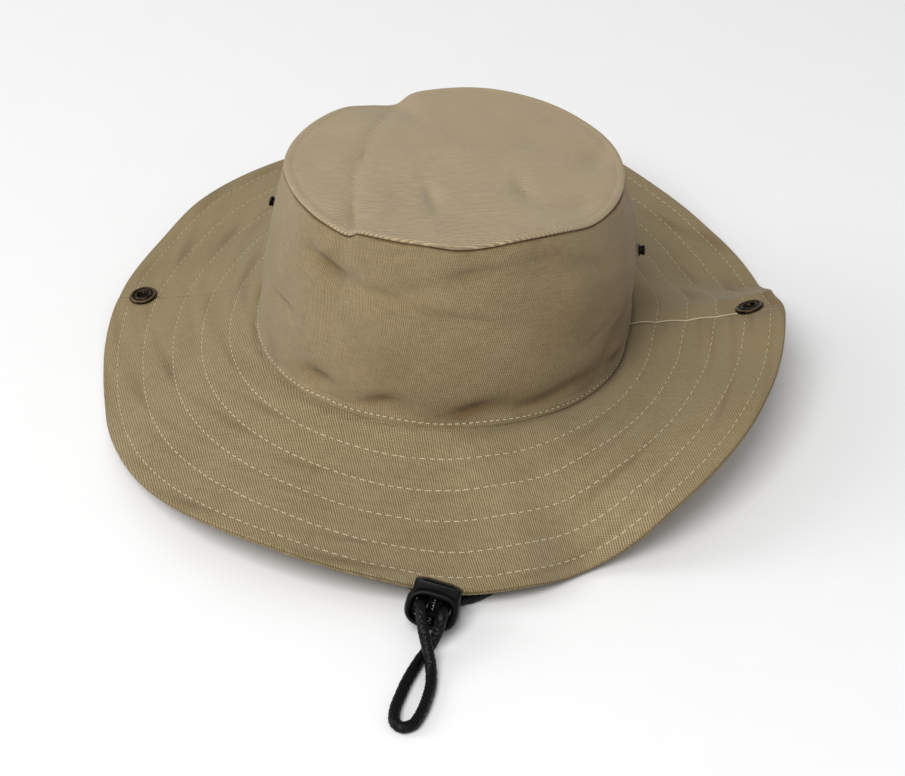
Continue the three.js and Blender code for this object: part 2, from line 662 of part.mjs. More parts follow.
function lockBody() {
  const { width, top, bottom, depth, edge, square, mouthTop, mouthBottom } = LOCK;
  const outline = squareOval(width / 2 - edge, (top - bottom) / 2 - edge, square, POINTS.lockOutline);
  const mouthHalf = (mouthTop - mouthBottom) / 2;
  const mouth = squareOval(LOCK.mouthWidth / 2, mouthHalf, LOCK.mouthSquare, POINTS.lockMouth);
  const shaft = plungerShape(BUTTON.width + 2 * GAP, SHAFT_FLOOR, top + 4, BUTTON.foot + GAP);
  return geometryOf(solid(alongY(outline, depth, edge, 3).translate(0, 0, (top + bottom) / 2))
    .subtract(solid(alongY(mouth, depth + 4, 0, 1).translate(0, 0, (mouthTop + mouthBottom) / 2)))
    .subtract(solid(alongY(shaft, BUTTON.depth + 2 * GAP, 0, 1))));
}

function lockButton() {
  const { width, depth, top, bottom, corner, edge } = BUTTON;
  const block = new THREE.Shape();
  const [x, y] = [width / 2 - edge, depth / 2 - edge];
  block.moveTo(-x + corner, -y).lineTo(x - corner, -y);
  block.absarc(x - corner, -y + corner, corner, -Math.PI / 2, 0);
  block.absarc(x - corner, y - corner, corner, 0, Math.PI / 2);
  block.absarc(-x + corner, y - corner, corner, Math.PI / 2, Math.PI);
  block.absarc(-x + corner, -y + corner, corner, Math.PI, 1.5 * Math.PI);
  const bar = new THREE.ExtrudeGeometry(block, {
    depth: top - bottom - 2 * edge, curveSegments: 3,
    bevelThickness: edge, bevelSize: edge, bevelSegments: 2,
  }).translate(0, 0, bottom + edge);
  const footed = plungerShape(width, bottom, top + 1, BUTTON.foot);
  const slot = boxBetween(BUTTON.slotWidth, depth + 4, BUTTON.slotBottom, BUTTON.slotTop);
  const foot = new THREE.Vector3(0, 0, bottom);
  const up = new THREE.Vector3(0, 0, 1);
  const springWay = barAt(foot, up, BUTTON.springHole, BUTTON.springDepth, POINTS.springHole);
  return geometryOf(solid(bar)
    .intersect(solid(alongY(footed, depth + 4, 0, 1)))
    .subtract(solid(slot))
    .subtract(solid(springWay)));
}

/** A coil round Z, short enough for the button to reach its stop. */
class Coil extends THREE.Curve {
  getPoint(t, target = new THREE.Vector3()) {
    const a = 2 * Math.PI * SPRING.turns * t;
    const bottom = SHAFT_FLOOR + SPRING.wire / 2 + 0.1;
    const top = BUTTON.slotTop - BUTTON.travel - GAP - SPRING.wire / 2;
    const z = bottom + (top - bottom) * t;
    return target.set(SPRING.radius * Math.cos(a), SPRING.radius * Math.sin(a), z);
  }
}

/** A route whose steps are even between its points, so that they are short where it bends. */
class Route extends THREE.CatmullRomCurve3 {
  getSpacedPoints(steps) {
    return this.getPoints(steps);
  }

  getTangentAt(t, target) {
    return this.getTangent(t, target);
  }
}

/** A round tube along a curve, closed at its ends. */
function tube(path, diameter, sides, steps) {
  const section = new THREE.Shape(Array.from({ length: sides }, (_, i) => {
    const a = (2 * Math.PI * i) / sides;
    return new THREE.Vector2((diameter / 2) * Math.cos(a), (diameter / 2) * Math.sin(a));
  }));
  return new THREE.ExtrudeGeometry(section, { extrudePath: path, steps, bevelEnabled: false });
}

function buildLock() {
  const group = new THREE.Group();
  group.position.set(LOCK.x - CENTRE.x, LOCK.y - CENTRE.y, LOCK.z);
  group.rotation.set(-radians(LOCK.lean), radians(LOCK.roll), radians(LOCK.yaw), 'ZXY');
  group.updateMatrix();
  hat.add(group);
  add(group, 'lock_body', lockBody(), MATERIALS.lock);
  add(group, 'lock_button', lockButton(), MATERIALS.lock);
  add(group, 'lock_spring', tube(new Coil(), SPRING.wire, SPRING.sides, SPRING.steps), MATERIALS.spring);
  return group;
}

// ---------------------------------------------------------------- chin cord

/** Points of one strand straight through the lock, from `first` to `last` along the mouth. */
function strandThrough(lock, side, first, last) {
  return spaced(first, last, 2).map((y) => (
    new THREE.Vector3((side * CORD.apart) / 2, y, CORD.height).applyMatrix4(lock.matrix)));
}

function buildCord(lock) {
  const placed = (rows) => rows.map(([x, y, z]) => new THREE.Vector3(x - CENTRE.x, y - CENTRE.y, z));
  const [back, front] = [LOCK.depth / 2, 0.8 - LOCK.depth / 2];
  const route = [
    ...placed(CORD_LEFT), ...strandThrough(lock, -1, back, front), ...placed(CORD_LOOP),
    ...strandThrough(lock, 1, front, back), ...placed(CORD_RIGHT),
  ];
  const steps = CORD.stepsPerPoint * (route.length - 1);
  add(hat, 'chin_cord', tube(new Route(route), CORD.diameter, CORD.sides, steps), MATERIALS.cord);
}

buildCrown();
buildBrim();
buildSnaps();
buildCord(buildLock());

export default hat;
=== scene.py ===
"""Outback hat: a quilted drill brim, a soft crown, snap fasteners and a chin cord with a cord lock.

Tables and sizes are in millimetres, in the hat's own frame before it is centred: +Z up, front towards -Y.
Finished pieces are in metres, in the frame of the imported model.
"""

from __future__ import annotations

import logging
import math
from contextlib import contextmanager
from dataclasses import dataclass, field, replace
from enum import Enum
from typing import Callable, Iterator, NamedTuple, Sequence

import bpy
import numpy as np
from mathutils import Matrix, Vector

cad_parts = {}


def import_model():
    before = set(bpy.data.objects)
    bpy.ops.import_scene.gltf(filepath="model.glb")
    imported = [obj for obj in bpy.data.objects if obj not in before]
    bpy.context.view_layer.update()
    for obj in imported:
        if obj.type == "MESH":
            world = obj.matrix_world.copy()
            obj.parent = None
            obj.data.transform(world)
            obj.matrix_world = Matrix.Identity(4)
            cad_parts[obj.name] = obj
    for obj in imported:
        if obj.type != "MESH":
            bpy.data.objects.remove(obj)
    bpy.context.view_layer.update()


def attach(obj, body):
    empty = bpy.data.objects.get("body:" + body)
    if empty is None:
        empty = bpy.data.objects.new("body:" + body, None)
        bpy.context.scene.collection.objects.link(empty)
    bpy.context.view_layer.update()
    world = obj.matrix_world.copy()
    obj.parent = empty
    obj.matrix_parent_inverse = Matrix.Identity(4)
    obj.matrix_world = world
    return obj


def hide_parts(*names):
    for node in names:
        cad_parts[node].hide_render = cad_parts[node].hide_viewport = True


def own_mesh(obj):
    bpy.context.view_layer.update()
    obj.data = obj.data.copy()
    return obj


log = logging.getLogger("outback_hat")

MM = 0.001  # one millimetre in metres
CENTRE = np.array([-1.0, 0.4, 0.0])  # middle of the hat's box, which is the frame's origin
HAT_BODY = "hat"
BUTTON_BODY = "button"
FLOOR_GAP = 0.02  # least height of a laid piece above the floor
SAME_PLACE = 1e-4  # points closer together than this are one
SEAM_GAP = 0.04  # half the gap between two panels at a side seam, in degrees
WAIST = 92.0  # usual distance of the base seam from the hat's axis

Array = np.ndarray
Piece = bpy.types.Object
Material = bpy.types.Material
Tree = bpy.types.NodeTree
Node = bpy.types.Node
Socket = bpy.types.NodeSocket
Triple = tuple[float, float, float]
Surface = Callable[[Array, Array], Array]


class Side(Enum):
    """The two ends of the seam across the hat, by their angle in degrees."""

    LEFT = 180.0
    RIGHT = 5.0


class Layer(Enum):
    """The brim's two layers, by the side of its middle surface on which they lie."""

    UPPER = 1
    UNDER = -1


class Cut(Enum):
    """What is left where a tool's shape meets a piece."""

    AWAY = "DIFFERENCE"
    JOINED = "UNION"
    SHARED = "INTERSECT"


# ---------------------------------------------------------------- driving dimensions


class BrimSlope(NamedTuple):
    """Slope of the brim below the level at the crown and at the rim, and how much wider it is."""

    angle: float
    inner: float
    outer: float
    wider: float


class Bend(NamedTuple):
    """How far a surface lies outside its plain form."""

    angle: float
    out: float


class SeamBend(NamedTuple):
    """How far the seam of the tip lies above and outside its oval."""

    angle: float
    lift: float
    out: float


class WallFold(NamedTuple):
    """A fold of the crown wall: centre, half length, half width, turn and depth inwards."""

    angle: float
    height: float
    length: float
    width: float
    turn: float
    depth: float


class TipDent(NamedTuple):
    """A dent of the tip panel: centre, half length, half width, turn and depth."""

    x: float
    y: float
    length: float
    width: float
    turn: float
    depth: float


def table(kind: type, *values: tuple[float, ...]) -> list:
    """Rows of one kind, from their values in the order of its columns."""
    return [kind(*row) for row in values]


BRIM_SLOPES = table(
    BrimSlope,
    (0, -17.1, -20.0, -2.6), (5, -11.6, -21.8, -4.8), (10, -9.6, -21.6, -9.6), (15, 0.8, -15.6, -9.6),
    (22, 14.5, -7.2, -5.4), (32, 31.8, 0.2, 0), (60, 27.0, 2.5, 0), (90, 15.0, -4.0, 0),
    (120, 22.5, -1.2, 0), (150, 26.5, -6.8, 0), (163, 26.2, -1.8, -1.5), (180, 25.4, 5.0, 0),
    (205, 25.2, 20.4, 0.6), (230, 20.9, 15.8, 1.9), (255, 29.0, -3.6, 1.0), (272, 41.5, -7.2, 2.2),
    (283, 40.0, 3.6, 3.0), (293, 31.0, 9.6, 2.2), (304, 25.4, 22.6, -2.4), (316, 9.8, -1.0, 0),
    (340, -9.4, -10.2, -0.6), (350, -13.0, -13.6, -1.6),
)

BASE_BENDS = table(  # the seam between crown and brim, beside its oval
    Bend,
    (0, -0.6), (15, 0), (180, 0), (215, 0.8), (240, 0.8), (262, 0), (305, 0.8), (330, 2.6), (345, 1.6),
)

TIP_SEAM = table(
    SeamBend,
    (0, 0.6, -0.8), (30, 0, 0), (51, -0.8, 0), (74, 0.3, 0), (93, 1.6, 0), (111, 1.0, 0), (118, 0, -0.4),
    (124, -3.6, -1.6), (134, -2.0, -0.4), (144, 0.5, 0), (157, 0.5, 0), (171, -0.5, 0), (190, -1.0, -0.4),
    (205, 0, -1.4), (222, 0.5, -1.4), (235, 0.2, -0.6), (245, -1.6, -1.6), (250, 2.0, -0.4), (271, 1.8, 0),
    (283, 0, 0), (292, 0.6, 0), (303, 2.4, 0), (318, 2.5, 0), (332, 0.5, 0), (346, 0.7, -0.4),
)

WALL_SWELL = table(  # the crown wall halfway up
    Bend,
    (0, 5.5), (60, 3.0), (120, 2.0), (180, 2.0), (235, 1.0), (270, 2.5), (320, 3.5),
)

WALL_FOLDS = table(
    WallFold,
    (242, 62, 22, 5.5, -14, 3.2), (224, 70, 9, 5, -60, -1.6), (275, 64, 30, 5, 14, 1.6),
    (318, 66, 30, 5, -8, 1.5), (288, 49, 30, 4.5, -8, 1.2), (222, 33, 12, 2.6, -8, 1.0),
    (243, 11, 11, 5, -25, 2.2), (267, 9, 14, 4.5, 0, 1.6), (296, 9, 16, 4.5, 0, 2.0),
    (338, 19, 14, 5, 48, 2.0), (20, 40, 22, 7, 60, 1.8), (62, 52, 28, 8, -10, 2.6),
    (105, 34, 30, 8, 12, 2.6), (145, 55, 24, 8, -20, 2.4),
)

TIP_DENTS = table(
    TipDent,
    (-27, -68, 16, 3.6, 108, 2.4), (-33, -38, 20, 3.6, 100, 2.2), (-35, -4, 24, 4, 92, 2.2),
    (-34, 32, 22, 4.5, 86, 2.8), (2, -47, 13, 4, 112, 1.5), (37, -29, 10, 4, 110, 1.1),
    (62, -36, 10, 5, 60, 1.4), (62, 14, 14, 5, 75, 1.8), (-17, -60, 10, 5, 100, -1.0),
)

WALL_CREASES = table(  # finer than the folds: creases, and tucks above the base seam; ridges are below 0
    WallFold,
    (239, 65, 11, 3.0, -8, 2.8), (238, 73.5, 8, 3.2, 25, -1.3), (265, 77, 6, 1.8, 10, 0.6),
    (263, 57.8, 17, 2.2, -7.6, 1.0), (263, 54.4, 17, 2.0, -7.6, -0.7), (288, 52.4, 15, 2.2, -8, 1.1),
    (288, 49.0, 15, 2.0, -8, -0.7), (288, 71.6, 13, 2.6, 5, 1.4), (312, 73, 9, 3.0, 3, 1.0),
    (330, 66, 11, 4.5, -24, 1.4), (300, 77, 14, 3.0, 3, -0.8), (8, 19, 24, 14, 0, 2.4),
    (309, 70, 10, 1.8, -14, -0.5), (222.5, 34.7, 10.5, 1.1, -1, 0.9), (243, 12, 10, 3.0, 4, 1.5),
    (247, 7.6, 6, 2.2, 5, -0.7), (264.4, 9.8, 8, 2.6, 18, 1.3), (291, 9.5, 9, 2.6, 14, 1.2),
    (312, 9, 12, 2.8, 10, 1.4), (322, 12, 12, 3.2, 12, 1.0), (331, 31.7, 14, 1.8, 17, 0.6),
    (341, 29, 14, 1.6, 8, 0.6), (342, 10, 8, 2.6, -10, 1.3), (214.6, 10, 7, 2.5, -23, 0.8),
)

WALL_PAINTED_SHADE = table(  # painted shade: brown in the creases, in the tucks above the base seam and over the wall's right side; the last number is how dark they are
    WallFold,
    (239, 64.6, 11, 3.2, -8, 0.45), (243, 12, 11, 4, 4, 0.5), (264, 10.5, 9, 3.8, 15, 0.55),
    (291, 10, 10, 4, 12, 0.5), (312, 9.5, 13, 4, 8, 0.6), (326, 14, 13, 6, 14, 0.45),
    (342, 10, 9, 4, -8, 0.5), (346, 30, 12, 6, 70, 0.35), (268, 30, 26, 9, 12, 0.12),
    (318, 40, 22, 12, 20, 0.2), (338, 44, 30, 30, 0, 0.42), (318, 73, 18, 4.5, -8, 0.22),
    (288, 71, 13, 3.2, 5, 0.28), (305, 14, 38, 7, 4, 0.28), (278, 54.2, 30, 1.8, -8, 0.16),
    (222.5, 34.7, 10.5, 1.0, -1, 0.4),
)

TIP_CREASES = table(  # on the tip's cloth: the long valley is drawn thinner, with a crease beside it
    TipDent,
    (-27, -68, 16, 3.6, 108, -1.2), (-33, -38, 20, 3.6, 100, -1.4), (-35, -4, 24, 4, 92, -1.5),
    (-34, 32, 22, 4.5, 86, -1.9), (-25.5, -70, 12, 1.2, 106, 0.9), (-31.5, -44, 17, 1.1, 104, 0.9),
    (-34.5, -12, 20, 1.0, 94, 0.8), (-35.5, 22, 18, 1.0, 88, 0.8), (3.5, -52, 16, 2.2, 110, 0.8),
    (37.5, -30, 9, 2.0, 112, 0.8),
)

CORD_LEFT = [  # from the seam down inside the crown and along the floor to the lock's back
    (-77.4, 0.0, 30.0), (-76.4, -3.0, 15.0), (-72.0, -12.0, 4.6), (-60.0, -42.0, 2.5),
    (-34.0, -100.0, 2.3), (10.0, -153.4, 2.4), (21.8, -163.8, 2.9), (25.8, -171.2, 5.8),
]
CORD_LOOP = [  # out of the lock's left side, over the other strand, round and back under it
    (28.4, -189.2, 15.6), (29.6, -193.4, 14.0), (31.4, -198.0, 11.8), (34.1, -203.0, 7.6),
    (36.7, -209.0, 3.6), (38.2, -216.4, 2.3), (38.4, -225.0, 2.25), (37.6, -233.6, 2.25),
    (35.8, -239.4, 2.25), (32.5, -241.4, 2.25), (29.3, -239.6, 2.25), (27.8, -233.8, 2.25),
    (28.1, -224.6, 2.25), (29.0, -216.0, 2.4), (31.2, -204.4, 2.4), (34.2, -197.2, 4.6),
    (36.2, -192.8, 9.2), (36.9, -189.8, 13.2),
]
CORD_RIGHT = [  # from the lock's back under the rim, along the floor and up to the other seam
    (36.6, -171.4, 4.2), (39.6, -167.0, 2.6), (46.4, -161.6, 2.2), (60.0, -142.0, 2.3),
    (74.0, -94.0, 2.3), (76.0, -44.0, 2.6), (74.4, -14.0, 4.4), (75.2, 2.0, 13.0), (76.2, 8.0, 25.0),
]


# ---------------------------------------------------------------- small helpers


def smoothstep(value: Array, low: float, high: float) -> Array:
    """Soft step.

    Args:
        value: Where to look.
        low: Value at which the step starts.
        high: Value at which it is complete.

    Returns:
        0 below the step, 1 above it, and a smooth rise between.
    """
    t = np.clip((value - low) / (high - low), 0.0, 1.0)
    return t * t * (3.0 - 2.0 * t)


def bump(value: Array, middle: float, width: float) -> Array:
    """Soft ridge of height 1 round `middle`, in the shape of a bell of half width `width`."""
    return np.exp(-(((value - middle) / width) ** 2))


def unit(vectors: Array) -> Array:
    """Vectors in the last axis, at length 1."""
    return vectors / np.linalg.norm(vectors, axis=-1, keepdims=True)


def placed(points: Array) -> Array:
    """Points of the hat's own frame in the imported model's frame, both in millimetres."""
    return np.asarray(points, float) - CENTRE


class Around:
    """A smooth closed curve through a table's rows, by angle in degrees."""

    def __init__(self, rows: Sequence[NamedTuple], column: str) -> None:
        """Keeps the curve's values and slopes.

        Args:
            rows: Rows in the order of their angles, the first at 0.
            column: The column whose values the curve passes through.
        """
        self.angles = np.array([row.angle for row in rows], float)
        self.values = np.array([getattr(row, column) for row in rows], float)
        after = np.roll(self.angles, -1)
        after[-1] += 360.0
        before = np.roll(self.angles, 1)
        before[0] -= 360.0
        self.spans = after - self.angles
        self.slopes = (np.roll(self.values, -1) - np.roll(self.values, 1)) / (after - before)

    def __call__(self, angle: Array) -> Array:
        """The curve's values at the given angles.

        Args:
            angle: Angles in degrees.

        Returns:
            One value for each.
        """
        turn = np.mod(angle, 360.0)
        row = np.searchsorted(self.angles, turn, side="right") - 1
        following = (row + 1) % len(self.angles)
        span = self.spans[row]
        t = (turn - self.angles[row]) / span
        rise = t * t * (3.0 - 2.0 * t)
        lean = self.slopes[row] * t * (1.0 - t) ** 2 - self.slopes[following] * t * t * (1.0 - t)
        return self.values[row] * (1.0 - rise) + self.values[following] * rise + span * lean


class Ripples:
    """Soft irregular waves in two directions, the same in each run."""

    WAVES = 9

    def __init__(self, length: float, seed: int) -> None:
        """Draws the waves.

        Args:
            length: Usual distance between two crests.
            seed: Start of the random draws.
        """
        draw = np.random.default_rng(seed)
        headings = draw.uniform(0.0, 2.0 * math.pi, self.WAVES)
        lengths = length * draw.uniform(0.6, 1.7, self.WAVES)
        self.across = 2.0 * math.pi * np.cos(headings) / lengths
        self.along = 2.0 * math.pi * np.sin(headings) / lengths
        self.phases = draw.uniform(0.0, 2.0 * math.pi, self.WAVES)

    def __call__(self, x: Array, y: Array) -> Array:
        """Height of the waves at the given places, mostly between -1 and 1."""
        x = np.asarray(x, float)[..., None]
        y = np.asarray(y, float)[..., None]
        return np.sin(x * self.across + y * self.along + self.phases).sum(-1) / math.sqrt(self.WAVES)


def normals_of(surface: Surface, u: Array, v: Array) -> Array:
    """Unit normals of a surface.

    Args:
        surface: The surface, given by two numbers.
        u: First numbers.
        v: Second numbers, of the same shape.

    Returns:
        One normal for each place, along the first direction crossed with the second.
    """
    step = 0.05
    along_u = surface(u + step, v) - surface(u - step, v)
    along_v = surface(u, v + step) - surface(u, v - step)
    return unit(np.cross(along_u, along_v))


# ---------------------------------------------------------------- the hat's surfaces


@dataclass(frozen=True)
class HatForm:
    """The hat's middle surfaces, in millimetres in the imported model's frame."""

    base_half_width: float = 80.9
    base_half_depth: float = 103.3
    base_height: float = 27.0
    base_side: float = -1.8
    base_back: float = -5.6
    base_saddle: float = -3.5
    tip_half_width: float = 71.9
    tip_half_depth: float = 78.6
    tip_x: float = 4.6
    tip_y: float = -11.6
    tip_height: float = 104.0
    tip_fall: float = -0.117
    tip_saddle: float = -1.2
    tip_lobes: float = -1.2
    tip_dome: float = 3.0
    wall_height: float = 83.0
    brim_width: float = 73.2
    brim_start: float = 2.0
    brim_half: float = 1.35
    settle: float = 0.5
    snap_runs: dict[Side, float] = field(default_factory=lambda: {Side.LEFT: 61.0, Side.RIGHT: 56.0})
    stud_heights: dict[Side, float] = field(default_factory=lambda: {Side.LEFT: 51.0, Side.RIGHT: 47.0})
    snap_flat: float = 9.0
    snap_blend: float = 16.0
    base_out: Around = Around(BASE_BENDS, "out")
    swell: Around = Around(WALL_SWELL, "out")
    slope_at_crown: Around = Around(BRIM_SLOPES, "inner")
    slope_at_rim: Around = Around(BRIM_SLOPES, "outer")
    wider: Around = Around(BRIM_SLOPES, "wider")
    seam_lift: Around = Around(TIP_SEAM, "lift")
    seam_out: Around = Around(TIP_SEAM, "out")

    def base_point(self, angle: Array) -> Array:
        """Seam between crown and brim, at angles in degrees.

        Args:
            angle: Angles round the hat, in degrees.

        Returns:
            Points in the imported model's frame.
        """
        a = np.radians(angle)
        height = self.base_height + self.base_side * np.cos(a) + self.base_back * np.sin(a)
        height = height + self.base_saddle * np.cos(2.0 * a)
        x = self.base_half_width * np.cos(a)
        y = self.base_half_depth * np.sin(a)
        bent = self.outwards(angle) * np.asarray(self.base_out(angle))[..., None]
        return placed(np.stack([x, y, height], axis=-1)) + bent

    def outwards(self, angle: Array) -> Array:
        """Level direction out of the crown at its base."""
        a = np.radians(angle)
        level = [np.cos(a) / self.base_half_width, np.sin(a) / self.base_half_depth, np.zeros_like(a)]
        return unit(np.stack(level, axis=-1))

    def tip_plane(self, y: Array) -> Array:
        """Height of the tip's tilted plane."""
        return self.tip_height + self.tip_fall * y

    def tip_point(self, angle: Array) -> Array:
        """Seam between crown wall and tip.

        Args:
            angle: Angles round the hat, in degrees.

        Returns:
            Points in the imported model's frame.
        """
        a = np.radians(angle)
        x = self.tip_x + (self.tip_half_width + self.seam_out(angle)) * np.cos(a)
        y = self.tip_y + (self.tip_half_depth + self.seam_out(angle)) * np.sin(a)
        waves = self.tip_saddle * np.cos(2.0 * a) + self.tip_lobes * np.cos(3.0 * a)
        return placed(np.stack([x, y, self.tip_plane(y) + waves + self.seam_lift(angle)], axis=-1))

    @staticmethod
    def soft_oval(along: Array, across: Array, fold: WallFold | TipDent) -> Array:
        """A soft oval dent.

        Args:
            along: Distances from the fold's centre in the first direction.
            across: Distances in the second direction.
            fold: The row that gives its size and turn.

        Returns:
            1 in the middle, fading to 0 past the half length and the half width.
        """
        turn = math.radians(fold.turn)
        long = (along * math.cos(turn) + across * math.sin(turn)) / fold.length
        wide = (across * math.cos(turn) - along * math.sin(turn)) / fold.width
        return np.exp(-long * long - wide * wide)

    def wall_along(self, angle: Array, middle: float = 0.0) -> Array:
        """Distance along the crown's cloth from one angle to others."""
        turn = np.mod(angle - middle + 540.0, 360.0) - 180.0
        return np.radians(turn) * (self.base_half_width + self.base_half_depth) / 2.0

    def on_wall(self, folds: Sequence[WallFold], angle: Array, height: Array) -> Array:
        """Depth of some of the wall's folds together.

        Args:
            folds: Rows of folds.
            angle: Angles round the hat, in degrees.
            height: Heights along the cloth above the base seam.

        Returns:
            The depth at each point.
        """
        spots = [(self.wall_along(angle, fold.angle), height - fold.height, fold) for fold in folds]
        return sum(fold.depth * self.soft_oval(beside, above, fold) for beside, above, fold in spots)

    def on_tip(self, dents: Sequence[TipDent], points: Array) -> Array:
        """Depth of some of the tip's dents together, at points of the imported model's frame."""
        x, y = points[..., 0] + CENTRE[0], points[..., 1] + CENTRE[1]
        return sum(dent.depth * self.soft_oval(x - dent.x, y - dent.y, dent) for dent in dents)

    def wall(self, angle: Array, height: Array) -> Array:
        """Crown wall, at heights along the cloth above the base seam.

        Args:
            angle: Angles round the hat, in degrees.
            height: Heights along the cloth above the base seam.

        Returns:
            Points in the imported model's frame.
        """
        up = np.maximum(height, 0.0) / self.wall_height
        base = self.base_point(angle)
        point = base + (self.tip_point(angle) - base) * up[..., None]
        out = self.swell(angle) * 4.0 * up * (1.0 - up)
        fade = smoothstep(up, 0.0, 0.06) * (1.0 - smoothstep(up, 0.93, 1.0))
        out = out - fade * self.on_wall(WALL_FOLDS, angle, height)
        point = point + self.outwards(angle) * out[..., None]
        point[..., 2] += np.minimum(height, 0.0)
        return point

    def top(self, angle: Array, reach: Array) -> Array:
        """Tip panel, from its middle at reach 0 to its seam at reach 1.

        Args:
            angle: Angles round the hat, in degrees.
            reach: 0 at the middle of the tip, 1 at its seam.

        Returns:
            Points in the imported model's frame.
        """
        rim = self.tip_point(angle)
        middle = placed(np.array([self.tip_x, self.tip_y, 0.0]))
        point = middle + (rim - middle) * reach[..., None]
        seam = rim[..., 2] - self.tip_plane(rim[..., 1] + CENTRE[1])
        plane = self.tip_plane(point[..., 1] + CENTRE[1])
        point[..., 2] = plane + seam * reach**3 + self.tip_dome * (1.0 - reach * reach)
        point[..., 2] -= (1.0 - smoothstep(reach, 0.9, 1.0)) * self.on_tip(TIP_DENTS, point)
        return point

    def rest_on_floor(self, z: Array) -> Array:
        """Rests the brim's middle surface on the floor, flat where it would sink.

        Args:
            z: Heights before the surface meets the floor.

        Returns:
            Heights above it.
        """
        over = z - self.brim_half
        settled = np.clip(over, -self.settle, self.settle) + self.settle
        lifted = np.maximum(over - self.settle, 0.0)
        return self.brim_half + lifted + settled * settled / (4.0 * self.settle)

    def loose_brim(self, angle: Array, share: Array) -> Array:
        """Brim's middle surface before the snaps press it flat, by the run along the cloth.

        Args:
            angle: Angles round the hat, in degrees.
            share: Distances along the cloth from the base seam.

        Returns:
            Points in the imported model's frame.
        """
        first = np.radians(self.slope_at_crown(angle))
        bend = (np.radians(self.slope_at_rim(angle)) - first) / self.brim_width
        run = share + self.wider(angle) * (share / self.brim_width) ** 3
        last = first + bend * run
        straight = np.abs(bend) < 1e-6
        curve = np.where(straight, 1.0, bend)
        reach = np.where(straight, run * np.cos(first), (np.sin(last) - np.sin(first)) / curve)
        drop = np.where(straight, run * np.sin(first), (np.cos(first) - np.cos(last)) / curve)
        bent = self.base_out(angle) * np.minimum(share / self.brim_width, 1.0)
        out = self.outwards(angle) * (self.brim_start + reach - bent)[..., None]
        point = self.base_point(angle) + out
        point[..., 2] = self.rest_on_floor(point[..., 2] - drop)
        return point

    def snap_seat(self, side: Side) -> tuple[Array, Array]:
        """Where a snap sits on the brim.

        Args:
            side: Left or right.

        Returns:
            The point of the middle surface and its upward unit normal.
        """
        angle = np.array(side.value)
        run = np.array(self.snap_runs[side])
        return self.loose_brim(angle, run), -normals_of(self.loose_brim, angle, run)

    def brim(self, angle: Array, run: Array) -> Array:
        """Brim's middle surface, pressed flat round each snap.

        Args:
            angle: Angles round the hat, in degrees.
            run: Distances along the cloth from the base seam.

        Returns:
            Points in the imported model's frame.
        """
        point = self.loose_brim(angle, run)
        for side in Side:
            seat, normal = self.snap_seat(side)
            offset = point - seat
            height = offset @ normal
            away = np.sqrt(np.maximum((offset * offset).sum(-1) - height * height, 0.0))
            near = np.linalg.norm(offset, axis=-1) < 2.0 * self.snap_blend
            pressed = np.where(near, 1.0 - smoothstep(away, self.snap_flat, self.snap_blend), 0.0)
            point = point - normal * (height * pressed)[..., None]
        return point


FORM = HatForm()


# ---------------------------------------------------------------- modelling with operators


def deselect() -> None:
    """Leaves nothing selected in object mode."""
    bpy.ops.object.select_all(action="DESELECT")


def activate(piece: Piece) -> None:
    """Makes a piece the only selected and active one."""
    deselect()
    piece.select_set(True)
    bpy.context.view_layer.objects.active = piece


def named(name: str) -> Piece:
    """Names the piece that was just made, and its mesh.

    Args:
        name: The name.

    Returns:
        The piece.
    """
    piece = bpy.context.object
    piece.name = name
    piece.data.name = name
    return piece


def link(piece: Piece) -> Piece:
    """Puts a new object in the scene."""
    bpy.context.scene.collection.objects.link(piece)
    return piece


@contextmanager
def editing(piece: Piece) -> Iterator[None]:
    """Opens a piece in edit mode with all of it selected, and closes it afterwards.

    Args:
        piece: The piece.
    """
    activate(piece)
    bpy.ops.object.mode_set(mode="EDIT")
    bpy.ops.mesh.select_all(action="SELECT")
    yield
    bpy.ops.object.mode_set(mode="OBJECT")


def points_of(piece: Piece) -> Array:
    """A piece's points, in its own units."""
    return np.array([vertex.co for vertex in piece.data.vertices])


def move_points(piece: Piece, points: Array) -> None:
    """Gives a piece's points new places."""
    piece.data.vertices.foreach_set("co", points.astype(np.float32).ravel())


def apply_modifier(piece: Piece, kind: str, **settings: object) -> None:
    """Adds a modifier to a piece and applies it.

    Args:
        piece: The piece to change.
        kind: Blender's name for the kind of modifier.
        **settings: Values of its properties.
    """
    activate(piece)
    modifier = piece.modifiers.new(kind.lower(), kind)
    for name, value in settings.items():
        setattr(modifier, name, value)
    bpy.ops.object.modifier_apply(modifier=modifier.name)


def subdivide(piece: Piece, levels: int) -> None:
    """Rounds a piece by subdivision."""
    apply_modifier(piece, "SUBSURF", levels=levels, render_levels=levels)


def smooth(piece: Piece, degrees: float = 180.0) -> None:
    """Shades a piece smooth across edges blunter than an angle.

    Args:
        piece: The piece.
        degrees: The angle.
    """
    activate(piece)
    if degrees >= 180.0:
        bpy.ops.object.shade_smooth()
    else:
        bpy.ops.object.shade_smooth_by_angle(angle=math.radians(degrees))


def recalculate(piece: Piece) -> None:
    """Merges doubled points and points all faces outwards."""
    with editing(piece):
        bpy.ops.mesh.remove_doubles(threshold=SAME_PLACE)
        bpy.ops.mesh.normals_make_consistent(inside=False)


def combine(piece: Piece, tool: Piece, how: Cut) -> None:
    """Combines a piece with a tool's shape and removes the tool."""
    apply_modifier(piece, "BOOLEAN", operation=how.value, solver="EXACT", object=tool)
    bpy.data.objects.remove(tool)


def settle_in_place(piece: Piece, place: Matrix) -> None:
    """Puts a piece modelled in millimetres in its place, in metres, in its own mesh."""
    piece.data.transform(Matrix.Scale(MM, 4) @ place)
    piece.data.update()


